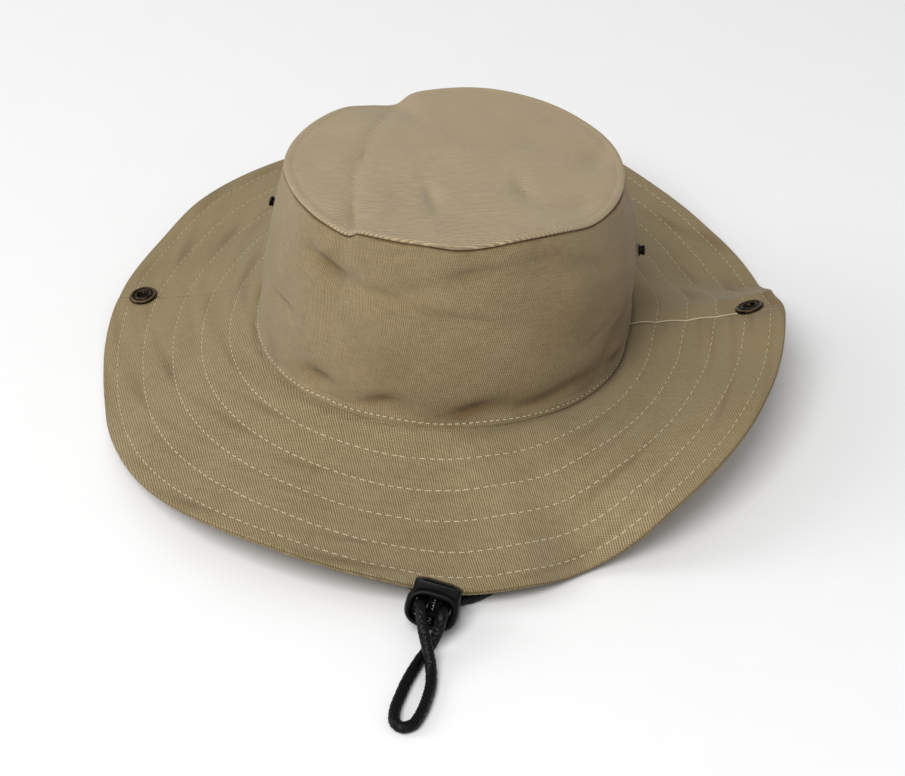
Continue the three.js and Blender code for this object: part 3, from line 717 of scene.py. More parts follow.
def mesh_piece(name: str, points: Array, faces: Sequence[Sequence[int]]) -> Piece:
    """Makes a piece from points and faces, pressed flat where it would sink into the floor.

    Args:
        name: The piece's name.
        points: Points in millimetres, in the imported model's frame.
        faces: Corners of each face, in order round it.

    Returns:
        The new piece.
    """
    points = np.array(points, dtype=float)
    points[:, 2] = np.maximum(points[:, 2], FLOOR_GAP)
    mesh = bpy.data.meshes.new(name)
    mesh.from_pydata((points * MM).tolist(), [], [list(face) for face in faces])
    piece = link(bpy.data.objects.new(name, mesh))
    smooth(piece)
    return piece


def write_uv(piece: Piece, name: str, places: Array) -> None:
    """Gives a piece a UV map.

    Args:
        piece: The piece.
        name: Name of the map.
        places: One pair of numbers for each of its points.
    """
    mesh = piece.data
    for layer in list(mesh.uv_layers):
        mesh.uv_layers.remove(layer)
    layer = mesh.uv_layers.new(name=name)
    corners = np.empty(len(mesh.loops), np.int32)
    mesh.loops.foreach_get("vertex_index", corners)
    layer.uv.foreach_set("vector", places[corners].astype(np.float32).ravel())


def write_value(piece: Piece, name: str, values: Array) -> None:
    """Gives a piece a named value at each of its points."""
    attribute = piece.data.attributes.new(name, "FLOAT", "POINT")
    attribute.data.foreach_set("value", values.astype(np.float32).ravel())


def turned(name: str, profile: Sequence[tuple[float, float]], sides: int) -> Piece:
    """Models a turned piece round Z, ring by ring from a circle, closed at both ends.

    Args:
        name: The piece's name.
        profile: Radius and height of each ring.
        sides: Number of corners of a ring.

    Returns:
        The new piece, in millimetres round the origin.
    """
    deselect()
    radius, height = profile[0]
    bpy.ops.mesh.primitive_circle_add(vertices=sides, radius=radius, location=(0, 0, 0))
    piece = named(name)
    with editing(piece):
        bpy.ops.transform.translate(value=(0, 0, height))
        for next_radius, next_height in profile[1:]:
            rise = {"value": (0, 0, next_height - height)}
            bpy.ops.mesh.extrude_edges_move(TRANSFORM_OT_translate=rise)
            grow = next_radius / radius
            bpy.ops.transform.resize(value=(grow, grow, 1), center_override=(0, 0, next_height))
            radius, height = next_radius, next_height
        bpy.ops.mesh.select_all(action="SELECT")
        bpy.ops.mesh.fill_holes(sides=0)
    recalculate(piece)
    return piece


# ---------------------------------------------------------------- shader graphs


class Graph:
    """Nodes of one shader tree, added and linked in few words."""

    def __init__(self, tree: Tree) -> None:
        """Works on `tree`."""
        self.tree = tree

    def node(self, kind: str, **settings: object) -> Node:
        """Adds a node and sets its properties.

        Args:
            kind: Blender's name for the kind of node.
            **settings: Values of its properties.

        Returns:
            The node.
        """
        made = self.tree.nodes.new(kind)
        for name, value in settings.items():
            setattr(made, name, value)
        return made

    def feed(self, socket: Socket, value: object) -> None:
        """Links an output to a socket, or sets the socket to a plain value.

        Args:
            socket: The input.
            value: An output or a plain value.
        """
        if isinstance(value, Socket):
            self.tree.links.new(value, socket)
        else:
            socket.default_value = value

    def settle(self, node: Node, **values: object) -> None:
        """Feeds a node's named inputs, with _ for each space of a name."""
        for name, value in values.items():
            self.feed(node.inputs[name.replace("_", " ")], value)

    def place(self) -> Socket:
        """Gives the piece's own coordinates."""
        return self.node("ShaderNodeTexCoord").outputs["Object"]

    def painted(self, name: str) -> Socket:
        """Gives the value that a piece carries at its points under this name."""
        return self.node("ShaderNodeAttribute", attribute_name=name).outputs["Fac"]

    def bump(self, height: object, depth: float, strength: object = 1.0) -> Socket:
        """Makes a fine relief.

        Args:
            height: Its height, from 0 to 1.
            depth: Its depth in millimetres.
            strength: How much of it shows, a socket or a number.

        Returns:
            The relief's normal.
        """
        made = self.node("ShaderNodeBump")
        self.settle(made, Strength=strength, Distance=depth * MM, Height=height)
        return made.outputs[0]

    def math(self, operation: str, *values: object, kind: str = "Math") -> Socket:
        """Adds a Math or VectorMath node.

        Args:
            operation: What it does.
            *values: Its inputs: sockets, numbers or vectors.
            kind: Which of the two it is.

        Returns:
            Its output.
        """
        made = self.node(f"ShaderNode{kind}", operation=operation)
        for socket, value in zip(made.inputs, values):
            self.feed(socket, value)
        return made.outputs[0]

    def noise(self, vector: object, scale: float, detail: float = 2.0, roughness: float = 0.5) -> Socket:
        """Adds a Noise node and gives its value.

        Args:
            vector: Where to look.
            scale: How many waves to a unit.
            detail: How many finer layers.
            roughness: How strong those are.

        Returns:
            Its value, around a half.
        """
        made = self.node("ShaderNodeTexNoise")
        self.settle(made, Vector=vector, Scale=scale, Detail=detail, Roughness=roughness)
        return made.outputs["Fac"]

    def ranged(
        self, value: object, low: float, high: float, to_low: float = 0.0, to_high: float = 1.0
    ) -> Socket:
        """Maps a value between two limits to two others, held at both ends.

        Args:
            value: The value.
            low: Its lower limit.
            high: Its upper limit.
            to_low: What the lower limit becomes.
            to_high: What the upper limit becomes.

        Returns:
            The new value.
        """
        made = self.node("ShaderNodeMapRange", clamp=True)
        self.settle(made, Value=value, From_Min=low, From_Max=high, To_Min=to_low, To_Max=to_high)
        return made.outputs["Result"]

    def mix(self, amount: object, first: object, second: object) -> Socket:
        """Mixes two colours.

        Args:
            amount: How much of the second, a socket or a number.
            first: A socket or a colour.
            second: A socket or a colour.

        Returns:
            The mixed colour.
        """
        made = self.node("ShaderNodeMix", data_type="RGBA", clamp_factor=True)
        self.feed(made.inputs["Factor"], amount)
        self.feed(made.inputs[6], first)
        self.feed(made.inputs[7], second)
        return made.outputs[2]

    def group(self, tree: Tree, **values: object) -> Node:
        """Adds a group node and feeds its named inputs, with _ for each space of a name.

        Args:
            tree: The group.
            **values: What feeds its inputs.

        Returns:
            The node.
        """
        made = self.node("ShaderNodeGroup", node_tree=tree)
        self.settle(made, **values)
        return made


def new_group(
    name: str, inputs: Sequence[tuple[str, str, object]], outputs: Sequence[tuple[str, str]]
) -> tuple[Graph, Node, Node]:
    """Starts a shader node group.

    Args:
        name: The group's name.
        inputs: Name, socket kind and usual value of each input.
        outputs: Name and socket kind of each output.

    Returns:
        Its graph, its input node and its output node.
    """
    tree = bpy.data.node_groups.new(name, "ShaderNodeTree")
    for label, kind, value in inputs:
        socket = tree.interface.new_socket(label, in_out="INPUT", socket_type=kind)
        if value is not None:
            socket.default_value = value
    for label, kind in outputs:
        tree.interface.new_socket(label, in_out="OUTPUT", socket_type=kind)
    graph = Graph(tree)
    return graph, graph.node("NodeGroupInput"), graph.node("NodeGroupOutput")


FLOAT = "NodeSocketFloat"
VECTOR = "NodeSocketVector"


def twill_group() -> Tree:
    """Twill weave on a map in millimetres: diagonal ridges of short floats, with uneven yarns.

    Returns:
        A group with a height and a yarn value, both from 0 to 1.
    """
    graph, given, made = new_group(
        "twill_weave",
        [("Vector", VECTOR, None), ("Turn", FLOAT, 0.0), ("Pitch", FLOAT, 0.9)],
        [("Height", FLOAT), ("Yarn", FLOAT)],
    )
    turn = graph.node("ShaderNodeVectorRotate", rotation_type="Z_AXIS")
    graph.feed(turn.inputs["Vector"], given.outputs["Vector"])
    graph.feed(turn.inputs["Angle"], given.outputs["Turn"])
    parts = graph.node("ShaderNodeSeparateXYZ")
    graph.feed(parts.inputs[0], turn.outputs[0])
    wander = graph.noise(given.outputs["Vector"], 0.16, 2.0)
    across = graph.math("DIVIDE", parts.outputs["X"], given.outputs["Pitch"])
    across = graph.math("MULTIPLY_ADD", wander, 0.9, across)
    ridge = graph.math("SINE", graph.math("MULTIPLY", across, 2.0 * math.pi))
    along = graph.math("DIVIDE", parts.outputs["Y"], given.outputs["Pitch"])
    along = graph.math("MULTIPLY_ADD", across, 0.5, along)
    floats = graph.math("SINE", graph.math("MULTIPLY", along, 2.0 * math.pi))
    lengthwise = graph.math("MULTIPLY", turn.outputs[0], (1.3, 0.16, 1.0), kind="VectorMath")
    yarn = graph.noise(lengthwise, 1.0, 3.0, 0.65)
    height = graph.math("MULTIPLY_ADD", ridge, 0.34, 0.5)
    height = graph.math("MULTIPLY_ADD", floats, 0.12, height)
    graph.feed(made.inputs["Height"], graph.math("MULTIPLY_ADD", yarn, 0.1, height))
    graph.feed(made.inputs["Yarn"], yarn)
    return graph.tree


def mottle_group() -> Tree:
    """Slow uneven tone of washed cotton, on a map in millimetres.

    Returns:
        A group with one value from 0 to 1.
    """
    graph, given, made = new_group("cloth_mottle", [("Vector", VECTOR, None)], [("Tone", FLOAT)])
    wide = graph.noise(given.outputs["Vector"], 0.022, 3.0, 0.55)
    fine = graph.noise(given.outputs["Vector"], 0.3, 3.0, 0.7)
    both = graph.math("MULTIPLY_ADD", fine, 0.35, graph.math("MULTIPLY", wide, 0.65))
    graph.feed(made.inputs["Tone"], graph.ranged(both, 0.3, 0.7))
    return graph.tree


def wear_group() -> Tree:
    """How crisp cloth and thread still are: full at the hat's front, washed flat towards its sides and back.

    Returns:
        A group with one value from 0 to 1.
    """
    graph, _, made = new_group("cloth_wear", [], [("Crispness", FLOAT)])
    parts = graph.node("ShaderNodeSeparateXYZ")
    graph.feed(parts.inputs[0], graph.place())
    aside = graph.math("ABSOLUTE", parts.outputs["X"])
    back = graph.math("MULTIPLY_ADD", aside, 0.5, parts.outputs["Y"])
    graph.feed(made.inputs["Crispness"], graph.ranged(back, -0.07, 0.05, 1.0, 0.35))
    return graph.tree


class SharedGroups:
    """Node groups that several finishes use, built once."""

    def __init__(self) -> None:
        """Builds the groups."""
        self.twill = twill_group()
        self.mottle = mottle_group()
        self.wear = wear_group()


def linear(red: float, green: float, blue: float) -> tuple[float, float, float, float]:
    """A colour given as it looks, from 0 to 255, as the shader's own values."""
    values = [value / 255.0 for value in (red, green, blue)]
    bright = [v / 12.92 if v <= 0.04045 else ((v + 0.055) / 1.055) ** 2.4 for v in values]
    return (bright[0], bright[1], bright[2], 1.0)


@dataclass(frozen=True)
class Finish:
    """A finish: a material with one Principled shader."""

    name: str

    def material(self, shared: SharedGroups) -> Material:
        """Makes the finish's material.

        Args:
            shared: The groups that finishes share.

        Returns:
            The material.
        """
        material = bpy.data.materials.new(self.name)
        material.use_nodes = True
        graph = Graph(material.node_tree)
        graph.settle(material.node_tree.nodes["Principled BSDF"], **self.inputs(graph, shared))
        return material

    def inputs(self, graph: Graph, shared: SharedGroups) -> dict[str, object]:
        """What goes into the shader.

        Args:
            graph: The material's graph.
            shared: The groups that finishes share.

        Returns:
            Sockets and plain values by the names of the shader's inputs, with _ for each space.
        """
        raise NotImplementedError


@dataclass(frozen=True)
class DrillCloth(Finish):
    """Cotton drill: twill ridges, uneven yarns and a slow mottle."""

    light: Triple
    dark: Triple
    turn: float
    pitch: float
    relief: float = 0.2
    slub: float = 0.14
    middle: float = 0.73
    # brown of the painted shade in creases, tucks and beside the stitched rows, and of uneven tone
    wear_and_shade: Triple = (98, 74, 44)
    roughness: float = 0.92
    sheen: float = 0.1

    def inputs(self, graph: Graph, shared: SharedGroups) -> dict[str, object]:
        """What goes into the shader.

        Args:
            graph: The material's graph.
            shared: The groups that finishes share.

        Returns:
            Sockets and plain values by the shader's own names.
        """
        grain = graph.node("ShaderNodeUVMap", uv_map="grain").outputs[0]
        weave = graph.group(shared.twill, Vector=grain, Turn=math.radians(self.turn), Pitch=self.pitch)
        tone = graph.group(shared.mottle, Vector=grain).outputs["Tone"]
        blend = graph.math("MULTIPLY_ADD", tone, 0.24, graph.math("MULTIPLY", weave.outputs["Height"], 0.85))
        blend = graph.math("MULTIPLY_ADD", weave.outputs["Yarn"], 0.3, blend)
        crosswise = graph.math("MULTIPLY", grain, (0.12, 1.5, 1.0), kind="VectorMath")
        wefts = graph.noise(crosswise, 1.0, 3.0, 0.6)
        blend = graph.math("MULTIPLY_ADD", graph.math("SUBTRACT", wefts, 0.5), self.slub * 4.0, blend)
        calm = graph.group(shared.wear).outputs["Crispness"]
        blend = graph.math("SUBTRACT", blend, self.middle)
        blend = graph.math("MULTIPLY_ADD", blend, calm, self.middle)
        colour = graph.mix(graph.ranged(blend, 0.4, 1.06), linear(*self.dark), linear(*self.light))
        # mixes in that brown by the sheet's shade value: painted shade, with uneven tone on the brim
        patchy = graph.math("MULTIPLY", graph.painted("shade"), graph.ranged(tone, 0.0, 1.0, 1.25, 0.65))
        return {
            "Base_Color": graph.mix(patchy, colour, linear(*self.wear_and_shade)), "Roughness": self.roughness,
            "Normal": graph.bump(weave.outputs["Height"], self.relief, calm), "Sheen_Weight": self.sheen,
            "Sheen_Roughness": 0.5, "Specular_IOR_Level": 0.2,
        }


@dataclass(frozen=True)
class Thread(Finish):
    """Spun sewing thread."""

    colour: Triple
    shadow: Triple
    washed: Triple

    def inputs(self, graph: Graph, shared: SharedGroups) -> dict[str, object]:
        """What goes into the shader.

        Args:
            graph: The material's graph.
            shared: The groups that finishes share.

        Returns:
            Sockets and plain values by the shader's own names.
        """
        fibre = graph.noise(graph.place(), 2600.0, 3.0, 0.7)
        colour = graph.mix(graph.ranged(fibre, 0.35, 0.65), linear(*self.shadow), linear(*self.colour))
        crisp = graph.group(shared.wear).outputs["Crispness"]
        colour = graph.mix(crisp, linear(*self.washed), colour)
        return {"Base_Color": colour, "Roughness": 0.6, "Normal": graph.bump(fibre, 0.05)}


# one drill in four tones: the tip's is lighter, partly its own paler tone and partly painted light on its
# upward face; the under brim's is darker, painted shade on the side that faces the floor
DRILLS = (  # wall, tip, upper brim and under brim
    DrillCloth("drill_wall", light=(160, 143, 109), dark=(110, 93, 63), turn=-18.0, pitch=0.85),
    DrillCloth("drill_tip", light=(181, 164, 134), dark=(136, 119, 90), turn=78.0, pitch=1.1),
    DrillCloth("drill_brim", light=(163, 147, 113), dark=(109, 93, 63), turn=-25.0, pitch=0.95),
    DrillCloth("drill_under", light=(152, 136, 102), dark=(104, 89, 60), turn=-22.0, pitch=0.95),
)
THREADS = (  # pale topstitching, the tip's toned thread, and the shade in needle holes
    Thread("thread_pale", colour=(230, 219, 190), shadow=(196, 180, 144), washed=(178, 161, 126)),
    Thread("thread_toned", colour=(178, 160, 124), shadow=(134, 116, 84), washed=(150, 133, 102)),
    Thread("needle_hole_shade", colour=(74, 58, 36), shadow=(44, 33, 20), washed=(96, 79, 54)),
)


@dataclass(frozen=True)
class AntiqueBrass(Finish):
    """Blackened brass, rubbed bright where it stands proud."""

    name: str = "antique_brass_worn"
    tarnish: Triple = (38, 31, 24)
    rubbed: Triple = (146, 121, 86)

    def inputs(self, graph: Graph, shared: SharedGroups) -> dict[str, object]:
        """What goes into the shader.

        Args:
            graph: The material's graph.
            shared: Not used; the groups that finishes share.

        Returns:
            Sockets and plain values by the shader's own names.
        """
        place = graph.place()
        cloudy = graph.noise(place, 420.0, 4.0, 0.6)
        fine = graph.noise(place, 3200.0, 3.0, 0.7)
        bright = graph.ranged(graph.math("MULTIPLY_ADD", cloudy, 0.7, graph.painted("wear_and_shade")), 0.7, 1.35)
        return {
            "Base_Color": graph.mix(bright, linear(*self.tarnish), linear(*self.rubbed)), "Metallic": 1.0,
            "Roughness": graph.ranged(graph.math("ADD", cloudy, fine), 0.6, 1.4, 0.3, 0.5),
            "Normal": graph.bump(fine, 0.03),
        }


@dataclass(frozen=True)
class MouldedPlastic(Finish):
    """Black moulded plastic with a satin skin."""

    roughness: float = 0.3

    def inputs(self, graph: Graph, shared: SharedGroups) -> dict[str, object]:
        """What goes into the shader.

        Args:
            graph: The material's graph.
            shared: Not used; the groups that finishes share.

        Returns:
            Sockets and plain values by the shader's own names.
        """
        place = graph.place()
        cloud = graph.noise(place, 160.0, 2.0, 0.5)
        return {
            "Base_Color": graph.mix(cloud, linear(3, 3, 4), linear(5, 6, 8)), "Specular_IOR_Level": 0.13,
            "Roughness": graph.ranged(cloud, 0.3, 0.7, self.roughness, self.roughness + 0.12),
            "Normal": graph.bump(graph.noise(place, 2400.0, 3.0, 0.6), 0.02),
        }


@dataclass(frozen=True)
class BraidedCord(Finish):
    """Black polyester braid, with painted shade where its relief sinks between strands."""

    name: str = "braided_cord"

    def inputs(self, graph: Graph, shared: SharedGroups) -> dict[str, object]:
        """What goes into the shader.

        Args:
            graph: The material's graph.
            shared: Not used; the groups that finishes share.

        Returns:
            Sockets and plain values by the shader's own names.
        """
        fibre = graph.noise(graph.place(), 3500.0, 2.0, 0.6)
        # painted shade: black in the grooves between strands, lighter on their backs
        back = graph.ranged(graph.painted("ridge"), 0.3, 1.0)
        colour = graph.mix(back, linear(0, 0, 0), linear(7, 7, 8))
        return {
            "Base_Color": graph.mix(graph.ranged(fibre, 0.5, 0.75), colour, linear(20, 20, 22)),
            "Roughness": 0.32, "Specular_IOR_Level": 0.16, "Normal": graph.bump(fibre, 0.06),
        }


@dataclass(frozen=True)
class SpringSteel(Finish):
    """Bright drawn wire."""

    name: str = "spring_wire"

    def inputs(self, graph: Graph, shared: SharedGroups) -> dict[str, object]:
        """What goes into the shader.

        Args:
            graph: The material's graph.
            shared: Not used; the groups that finishes share.

        Returns:
            Sockets and plain values by the shader's own names.
        """
        drawn = graph.noise(graph.place(), 1800.0, 2.0, 0.6)
        return {
            "Base_Color": graph.mix(drawn, linear(176, 177, 180), linear(232, 233, 235)),
            "Roughness": graph.ranged(drawn, 0.3, 0.7, 0.16, 0.3), "Metallic": 1.0,
        }


@dataclass(frozen=True)
class PaleFloor(Finish):
    """Matt white board."""

    name: str = "pale_floor"

    def inputs(self, graph: Graph, shared: SharedGroups) -> dict[str, object]:
        """What goes into the shader.

        Args:
            graph: The material's graph.
            shared: Not used; the groups that finishes share.

        Returns:
            Sockets and plain values by the shader's own names.
        """
        tone = graph.noise(graph.place(), 40.0, 2.0, 0.5)
        pale = graph.mix(tone, (0.9, 0.9, 0.9, 1.0), (0.92, 0.92, 0.92, 1.0))
        return {"Base_Color": pale, "Roughness": 0.9, "Specular_IOR_Level": 0.1}


# ---------------------------------------------------------------- cloth


@dataclass
class ClothSheet:
    """One layer of cloth: a flat grid laid over a surface, then given its thickness."""

    name: str
    surface: Surface
    outer: int
    columns: Array
    rows: Array
    lift: Array
    grain: Array
    thickness: float = 0.6
    shade: Array | None = None

    def build(self) -> Piece:
        """Lays the sheet.

        Returns:
            The sheet as a piece, with its grain map and shade.
        """
        count_down, count_across = self.columns.shape
        deselect()
        bpy.ops.mesh.primitive_grid_add(
            x_subdivisions=count_across - 1, y_subdivisions=count_down - 1, size=2.0, location=(0, 0, 0)
        )
        piece = named(self.name)
        flat = (points_of(piece) + 1.0) / 2.0
        column = np.rint(flat[:, 0] * (count_across - 1)).astype(int)
        row = np.rint(flat[:, 1] * (count_down - 1)).astype(int)
        points = self.surface(self.columns, self.rows)
        facing = self.outer * normals_of(self.surface, self.columns, self.rows)
        points = (points + facing * self.lift[..., None])[row, column]
        points[:, 2] = np.maximum(points[:, 2], self.thickness / 2.0)
        move_points(piece, points * MM)
        write_uv(piece, "grain", self.grain[row, column])
        shade = np.zeros(len(points)) if self.shade is None else self.shade[row, column]
        write_value(piece, "shade", shade)
        if self.outer < 0:
            with editing(piece):
                bpy.ops.mesh.flip_normals()
        apply_modifier(piece, "SOLIDIFY", thickness=self.thickness * MM, offset=0.0, use_even_offset=False)
        smooth(piece, 50.0)
        return piece


def half_columns(first: float, last: float, count: int) -> Array:
    """Angles of a panel's columns, closer together beside its two seams."""
    close = np.array([0.0, 0.08, 0.2, 0.4, 0.7, 1.1])
    inner = np.linspace(first + 1.6, last - 1.6, count)
    return np.concatenate([first + close, inner, last - close[::-1]])


def seam_dip(angle: Array, first: float, last: float, radius: Array, depth: float) -> Array:
    """How far cloth bends in at the two seams at its sides.

    Args:
        angle: Angles of the cloth's points.
        first: Angle of one seam.
        last: Angle of the other.
        radius: Distance of each point from the hat's axis.
        depth: Depth of the bend.

    Returns:
        The depth at each point.
    """
    away = np.radians(np.minimum(angle - first, last - angle)) * radius
    return depth * np.exp(-((np.maximum(away, 0.0) / 0.9) ** 1.5))


class Half(Enum):
    """The front and back panels, by the angles at which they start and end."""

    FRONT = (Side.LEFT.value + SEAM_GAP, Side.RIGHT.value + 360.0 - SEAM_GAP)
    BACK = (Side.RIGHT.value + SEAM_GAP, Side.LEFT.value - SEAM_GAP)


# ---------------------------------------------------------------- stitches


@dataclass
class StitchRow:
    """A row of stitches along a line of a surface."""

    surface: Surface
    outer: int
    angles: Array
    across: Array
    lift: Array | float
    pitch: float
    length: float
    width: float
    seed: int
    shift: float = 0.5

    def frames(self) -> tuple[Array, Array, Array]:
        """Where the stitches lie.

        Returns:
            Their middles, their directions and the cloth's normals there.
        """
        points = self.surface(self.angles, self.across)
        normals = self.outer * normals_of(self.surface, self.angles, self.across)
        points = points + normals * np.broadcast_to(self.lift, self.angles.shape)[:, None]
        steps = np.linalg.norm(np.diff(points, axis=0), axis=1)
        run = np.concatenate([[0.0], np.cumsum(steps)])
        count = int(run[-1] // self.pitch)
        draw = np.random.default_rng(self.seed)
        spots = (np.arange(count) + self.shift) * run[-1] / count
        spots = np.clip(spots + draw.normal(0.0, 0.05 * self.pitch, count), 0.0, run[-1] - 0.6)
        middle = np.stack([np.interp(spots, run, points[:, i]) for i in range(3)], axis=-1)
        ahead = np.stack([np.interp(spots + 0.5, run, points[:, i]) for i in range(3)], axis=-1)
        facing = unit(np.stack([np.interp(spots, run, normals[:, i]) for i in range(3)], axis=-1))
        away = unit(ahead - middle)
        side = unit(np.cross(facing, away))
        away = unit(away + side * draw.normal(0.0, 0.05, count)[:, None])
        return middle, away, facing

    def holes(self) -> StitchRow:
        """The row's needle holes, as short dark stitches of painted shade between its own."""
        lift = np.asarray(self.lift) - 0.3 * self.width
        return replace(self, lift=lift, length=0.8, width=0.5 * self.width + 0.2, shift=self.shift - 0.5)


def stitch_shape() -> tuple[Array, list[list[int]]]:
    """One stitch: a small round bar that sinks at both ends, of length, width and height 1.

    Returns:
        Its points and faces.
    """
    deselect()
    bpy.ops.mesh.primitive_uv_sphere_add(segments=6, ring_count=6, radius=0.5, rotation=(0, math.pi / 2, 0))
    sphere = bpy.context.object
    bpy.ops.object.transform_apply(rotation=True)
    points = points_of(sphere)
    faces = [list(polygon.vertices) for polygon in sphere.data.polygons]
    bpy.data.objects.remove(sphere)
    points[:, 0] = 0.5 * np.sign(points[:, 0]) * np.abs(2.0 * points[:, 0]) ** 0.8
    return points, faces


def sew(name: str, rows: Sequence[StitchRow]) -> Piece:
    """Joins all stitches of some rows in one piece.

    Args:
        name: The piece's name.
        rows: The rows to sew.

    Returns:
        The new piece.
    """
    shape, faces = stitch_shape()
    all_points: list[Array] = []
    for row in rows:
        middle, away, facing = row.frames()
        side = np.cross(facing, away)
        size = shape * np.array([row.length, row.width, row.width * 0.8])
        points = middle[:, None, :] + size[None, :, 0:1] * away[:, None, :]
        points = points + size[None, :, 1:2] * side[:, None, :] + size[None, :, 2:3] * facing[:, None, :]
        sunk = (2.0 * shape[None, :, 0:1]) ** 2 * row.width * 0.35
        all_points.append((points - sunk * facing[:, None, :]).reshape(-1, 3))
    points = np.concatenate(all_points)
    count = len(points) // len(shape)
    joined = [[index + len(shape) * i for index in face] for i in range(count) for face in faces]
    return mesh_piece(name, points, joined)


def thread_along(name: str, points: Array, radius: float) -> Piece:
    """Lays a round thread along a line.

    Args:
        name: The piece's name.
        points: The line, in millimetres.
        radius: The thread's radius.

    Returns:
        The new piece.
    """
    curve = bpy.data.curves.new(name, "CURVE")
    curve.dimensions = "3D"
    line = curve.splines.new("POLY")
    line.points.add(len(points) - 1)
    for point, place in zip(line.points, points * MM):
        point.co = (*place, 1.0)
    curve.bevel_depth = radius * MM
    curve.bevel_resolution = 2
    curve.use_fill_caps = True
    activate(link(bpy.data.objects.new(name, curve)))
    bpy.ops.object.convert(target="MESH")
    piece = bpy.context.object
    smooth(piece)
    return piece


# ---------------------------------------------------------------- the crown


@dataclass
class Crown:
    """The soft crown: two wall panels, the tip and their topstitching."""

    sheet: float = 0.6
    lift: float = 0.4
    ripple: float = 0.35
    hem_height: float = 1.15
    hem_swell: float = 0.7
    turned_in: float = 0.7
    groove: float = 0.3
    pucker: float = 3.5
    tuck: float = 1.0
    # rubbed: strength of the brown painted shade in patches over the tucks above the base seam
    rubbed: float = 0.3
    seam_depth: float = 0.45
    seam_radius: float = 80.0
    stitch_height: float = 3.5
    tip_rise: float = 1.3
    tip_out: float = 0.7
    tip_edge: float = 0.9
    tip_ripple: float = 0.3
    tip_stitch: float = 3.6
    tip_reach: float = 75.0
    line_points: int = 1441
    wall_columns: int = 200
    tip_rings: int = 70

    def wall_relief(self, angle: Array, height: Array) -> Array:
        """How far the wall's cloth lies off its middle surface.

        Args:
            angle: Angles round the hat, in degrees.
            height: Heights along the cloth above the base seam.

        Returns:
            The distance at each point.
        """
        along = FORM.wall_along(angle)
        waves = Ripples(length=34.0, seed=11)(along, height * 1.4)
        out = self.lift + self.ripple * waves * smoothstep(height, 6.0, 20.0)
        fade = smoothstep(height, self.stitch_height + 1.0, self.stitch_height + 3.5)
        out = out - fade * FORM.on_wall(WALL_CREASES, angle, height)
        hem = smoothstep(height, self.hem_height - 0.3, self.hem_height + 0.35)
        out = out - self.turned_in * (1.0 - hem)
        swell = smoothstep(height, self.hem_height, self.hem_height + 0.5)
        swell = swell * (1.0 - smoothstep(height, self.stitch_height + 0.4, self.stitch_height + 2.2))
        out = out + self.hem_swell * swell
        pull = 0.75 + 0.25 * np.sin(2.0 * math.pi * along / self.pucker)
        out = out - self.groove * pull * bump(height, self.stitch_height, 0.7)
        top = FORM.wall_height
        return out - self.tuck * smoothstep(height, top - 1.4, top)

    def wall_painted_shade(self, angle: Array, height: Array) -> Array:
        """Painted shade on the wall's cloth: brown in patches over the tucks above its base seam, in its
        creases and over its right side, and a dark line of painted shadow just under the tip's edge.

        Args:
            angle: Angles round the hat, in degrees.
            height: Heights along the cloth above the base seam.

        Returns:
            0 where no shade is painted, and up to 1.
        """
        patches = Ripples(length=46.0, seed=5)(FORM.wall_along(angle), height * 2.0)
        shade = self.rubbed * smoothstep(patches, 0.2, 1.4)
        shade = shade * (1.0 - smoothstep(height, 5.0, 26.0))
        shade = shade + FORM.on_wall(WALL_PAINTED_SHADE, angle, height)
        shade = np.minimum(shade, 0.75) * smoothstep(height, self.stitch_height, self.stitch_height + 1.5)
        # a dark line of painted shadow just under the tip's overhanging edge
        return np.maximum(shade, smoothstep(height, FORM.wall_height - 1.6, FORM.wall_height - 0.9))

    def build_walls(self) -> list[Piece]:
        """Lays the two wall panels.

        Returns:
            The front and the back panel.
        """
        heights = np.concatenate([
            [-2.4, -1.0, 0.4, 0.8, 0.95, 1.1, 1.25, 1.4, 1.6, 2.0, 2.4, 2.8, 3.1, 3.4, 3.7, 4.1, 4.7, 5.5],
            [6.2, 7.0], np.linspace(7.8, FORM.wall_height - 2.0, 60),
            FORM.wall_height - np.array([1.4, 1.0, 0.7, 0.4, 0.2, 0.0]),
        ])
        made = []
        for half in Half:
            first, last = half.value
            columns, rows = np.meshgrid(half_columns(first, last, self.wall_columns), heights)
            radius = np.full_like(rows, self.seam_radius)
            lift = self.wall_relief(columns, rows) - seam_dip(columns, first, last, radius, self.seam_depth)
            grain = np.stack([FORM.wall_along(columns, (first + last) / 2.0), rows], axis=-1)
            name = f"crown_wall_{half.name.lower()}"
            shade = self.wall_painted_shade(columns, rows)
            sheet = ClothSheet(name, FORM.wall, 1, columns, rows, lift, grain, self.sheet, shade)
            piece = sheet.build()
            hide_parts(f"crown_side_{half.name.lower()}")
            made.append(piece)
        return made

    def tip_surface(self, angle: Array, reach: Array) -> Array:
        """Tip's surface, raised over the wall's top edge.

        Args:
            angle: Angles round the hat, in degrees.
            reach: 0 at the middle of the tip, 1 at its seam.

        Returns:
            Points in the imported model's frame.
        """
        point = FORM.top(angle, reach)
        point[..., 2] += self.tip_rise
        out = FORM.outwards(angle) * (self.tip_out * smoothstep(reach, 0.85, 1.0))[..., None]
        return point + out

    def tip_relief(self, angle: Array, reach: Array) -> Array:
        """How far the tip's cloth lies off its surface: a rolled edge, and a groove along its stitches.

        Args:
            angle: Angles round the hat, in degrees.
            reach: 0 at the middle of the tip, 1 at its seam.

        Returns:
            The distance at each point.
        """
        away = (1.0 - reach) * self.tip_reach
        edge = self.tip_edge
        roll = np.where(away < edge, edge - np.sqrt(np.maximum(edge**2 - (edge - away) ** 2, 0.0)), 0.0)
        lift = 0.15 * bump(away, 1.9, 1.2) - 0.9 * roll - 0.25 * bump(away, self.tip_stitch, 0.8)
        plan = self.tip_surface(angle, reach)
        waves = Ripples(length=30.0, seed=21)(plan[..., 0], plan[..., 1])
        lift = lift + self.tip_ripple * waves * smoothstep(away, 3.0, 16.0)
        return lift - (1.0 - smoothstep(reach, 0.93, 1.0)) * FORM.on_tip(TIP_CREASES, plan)

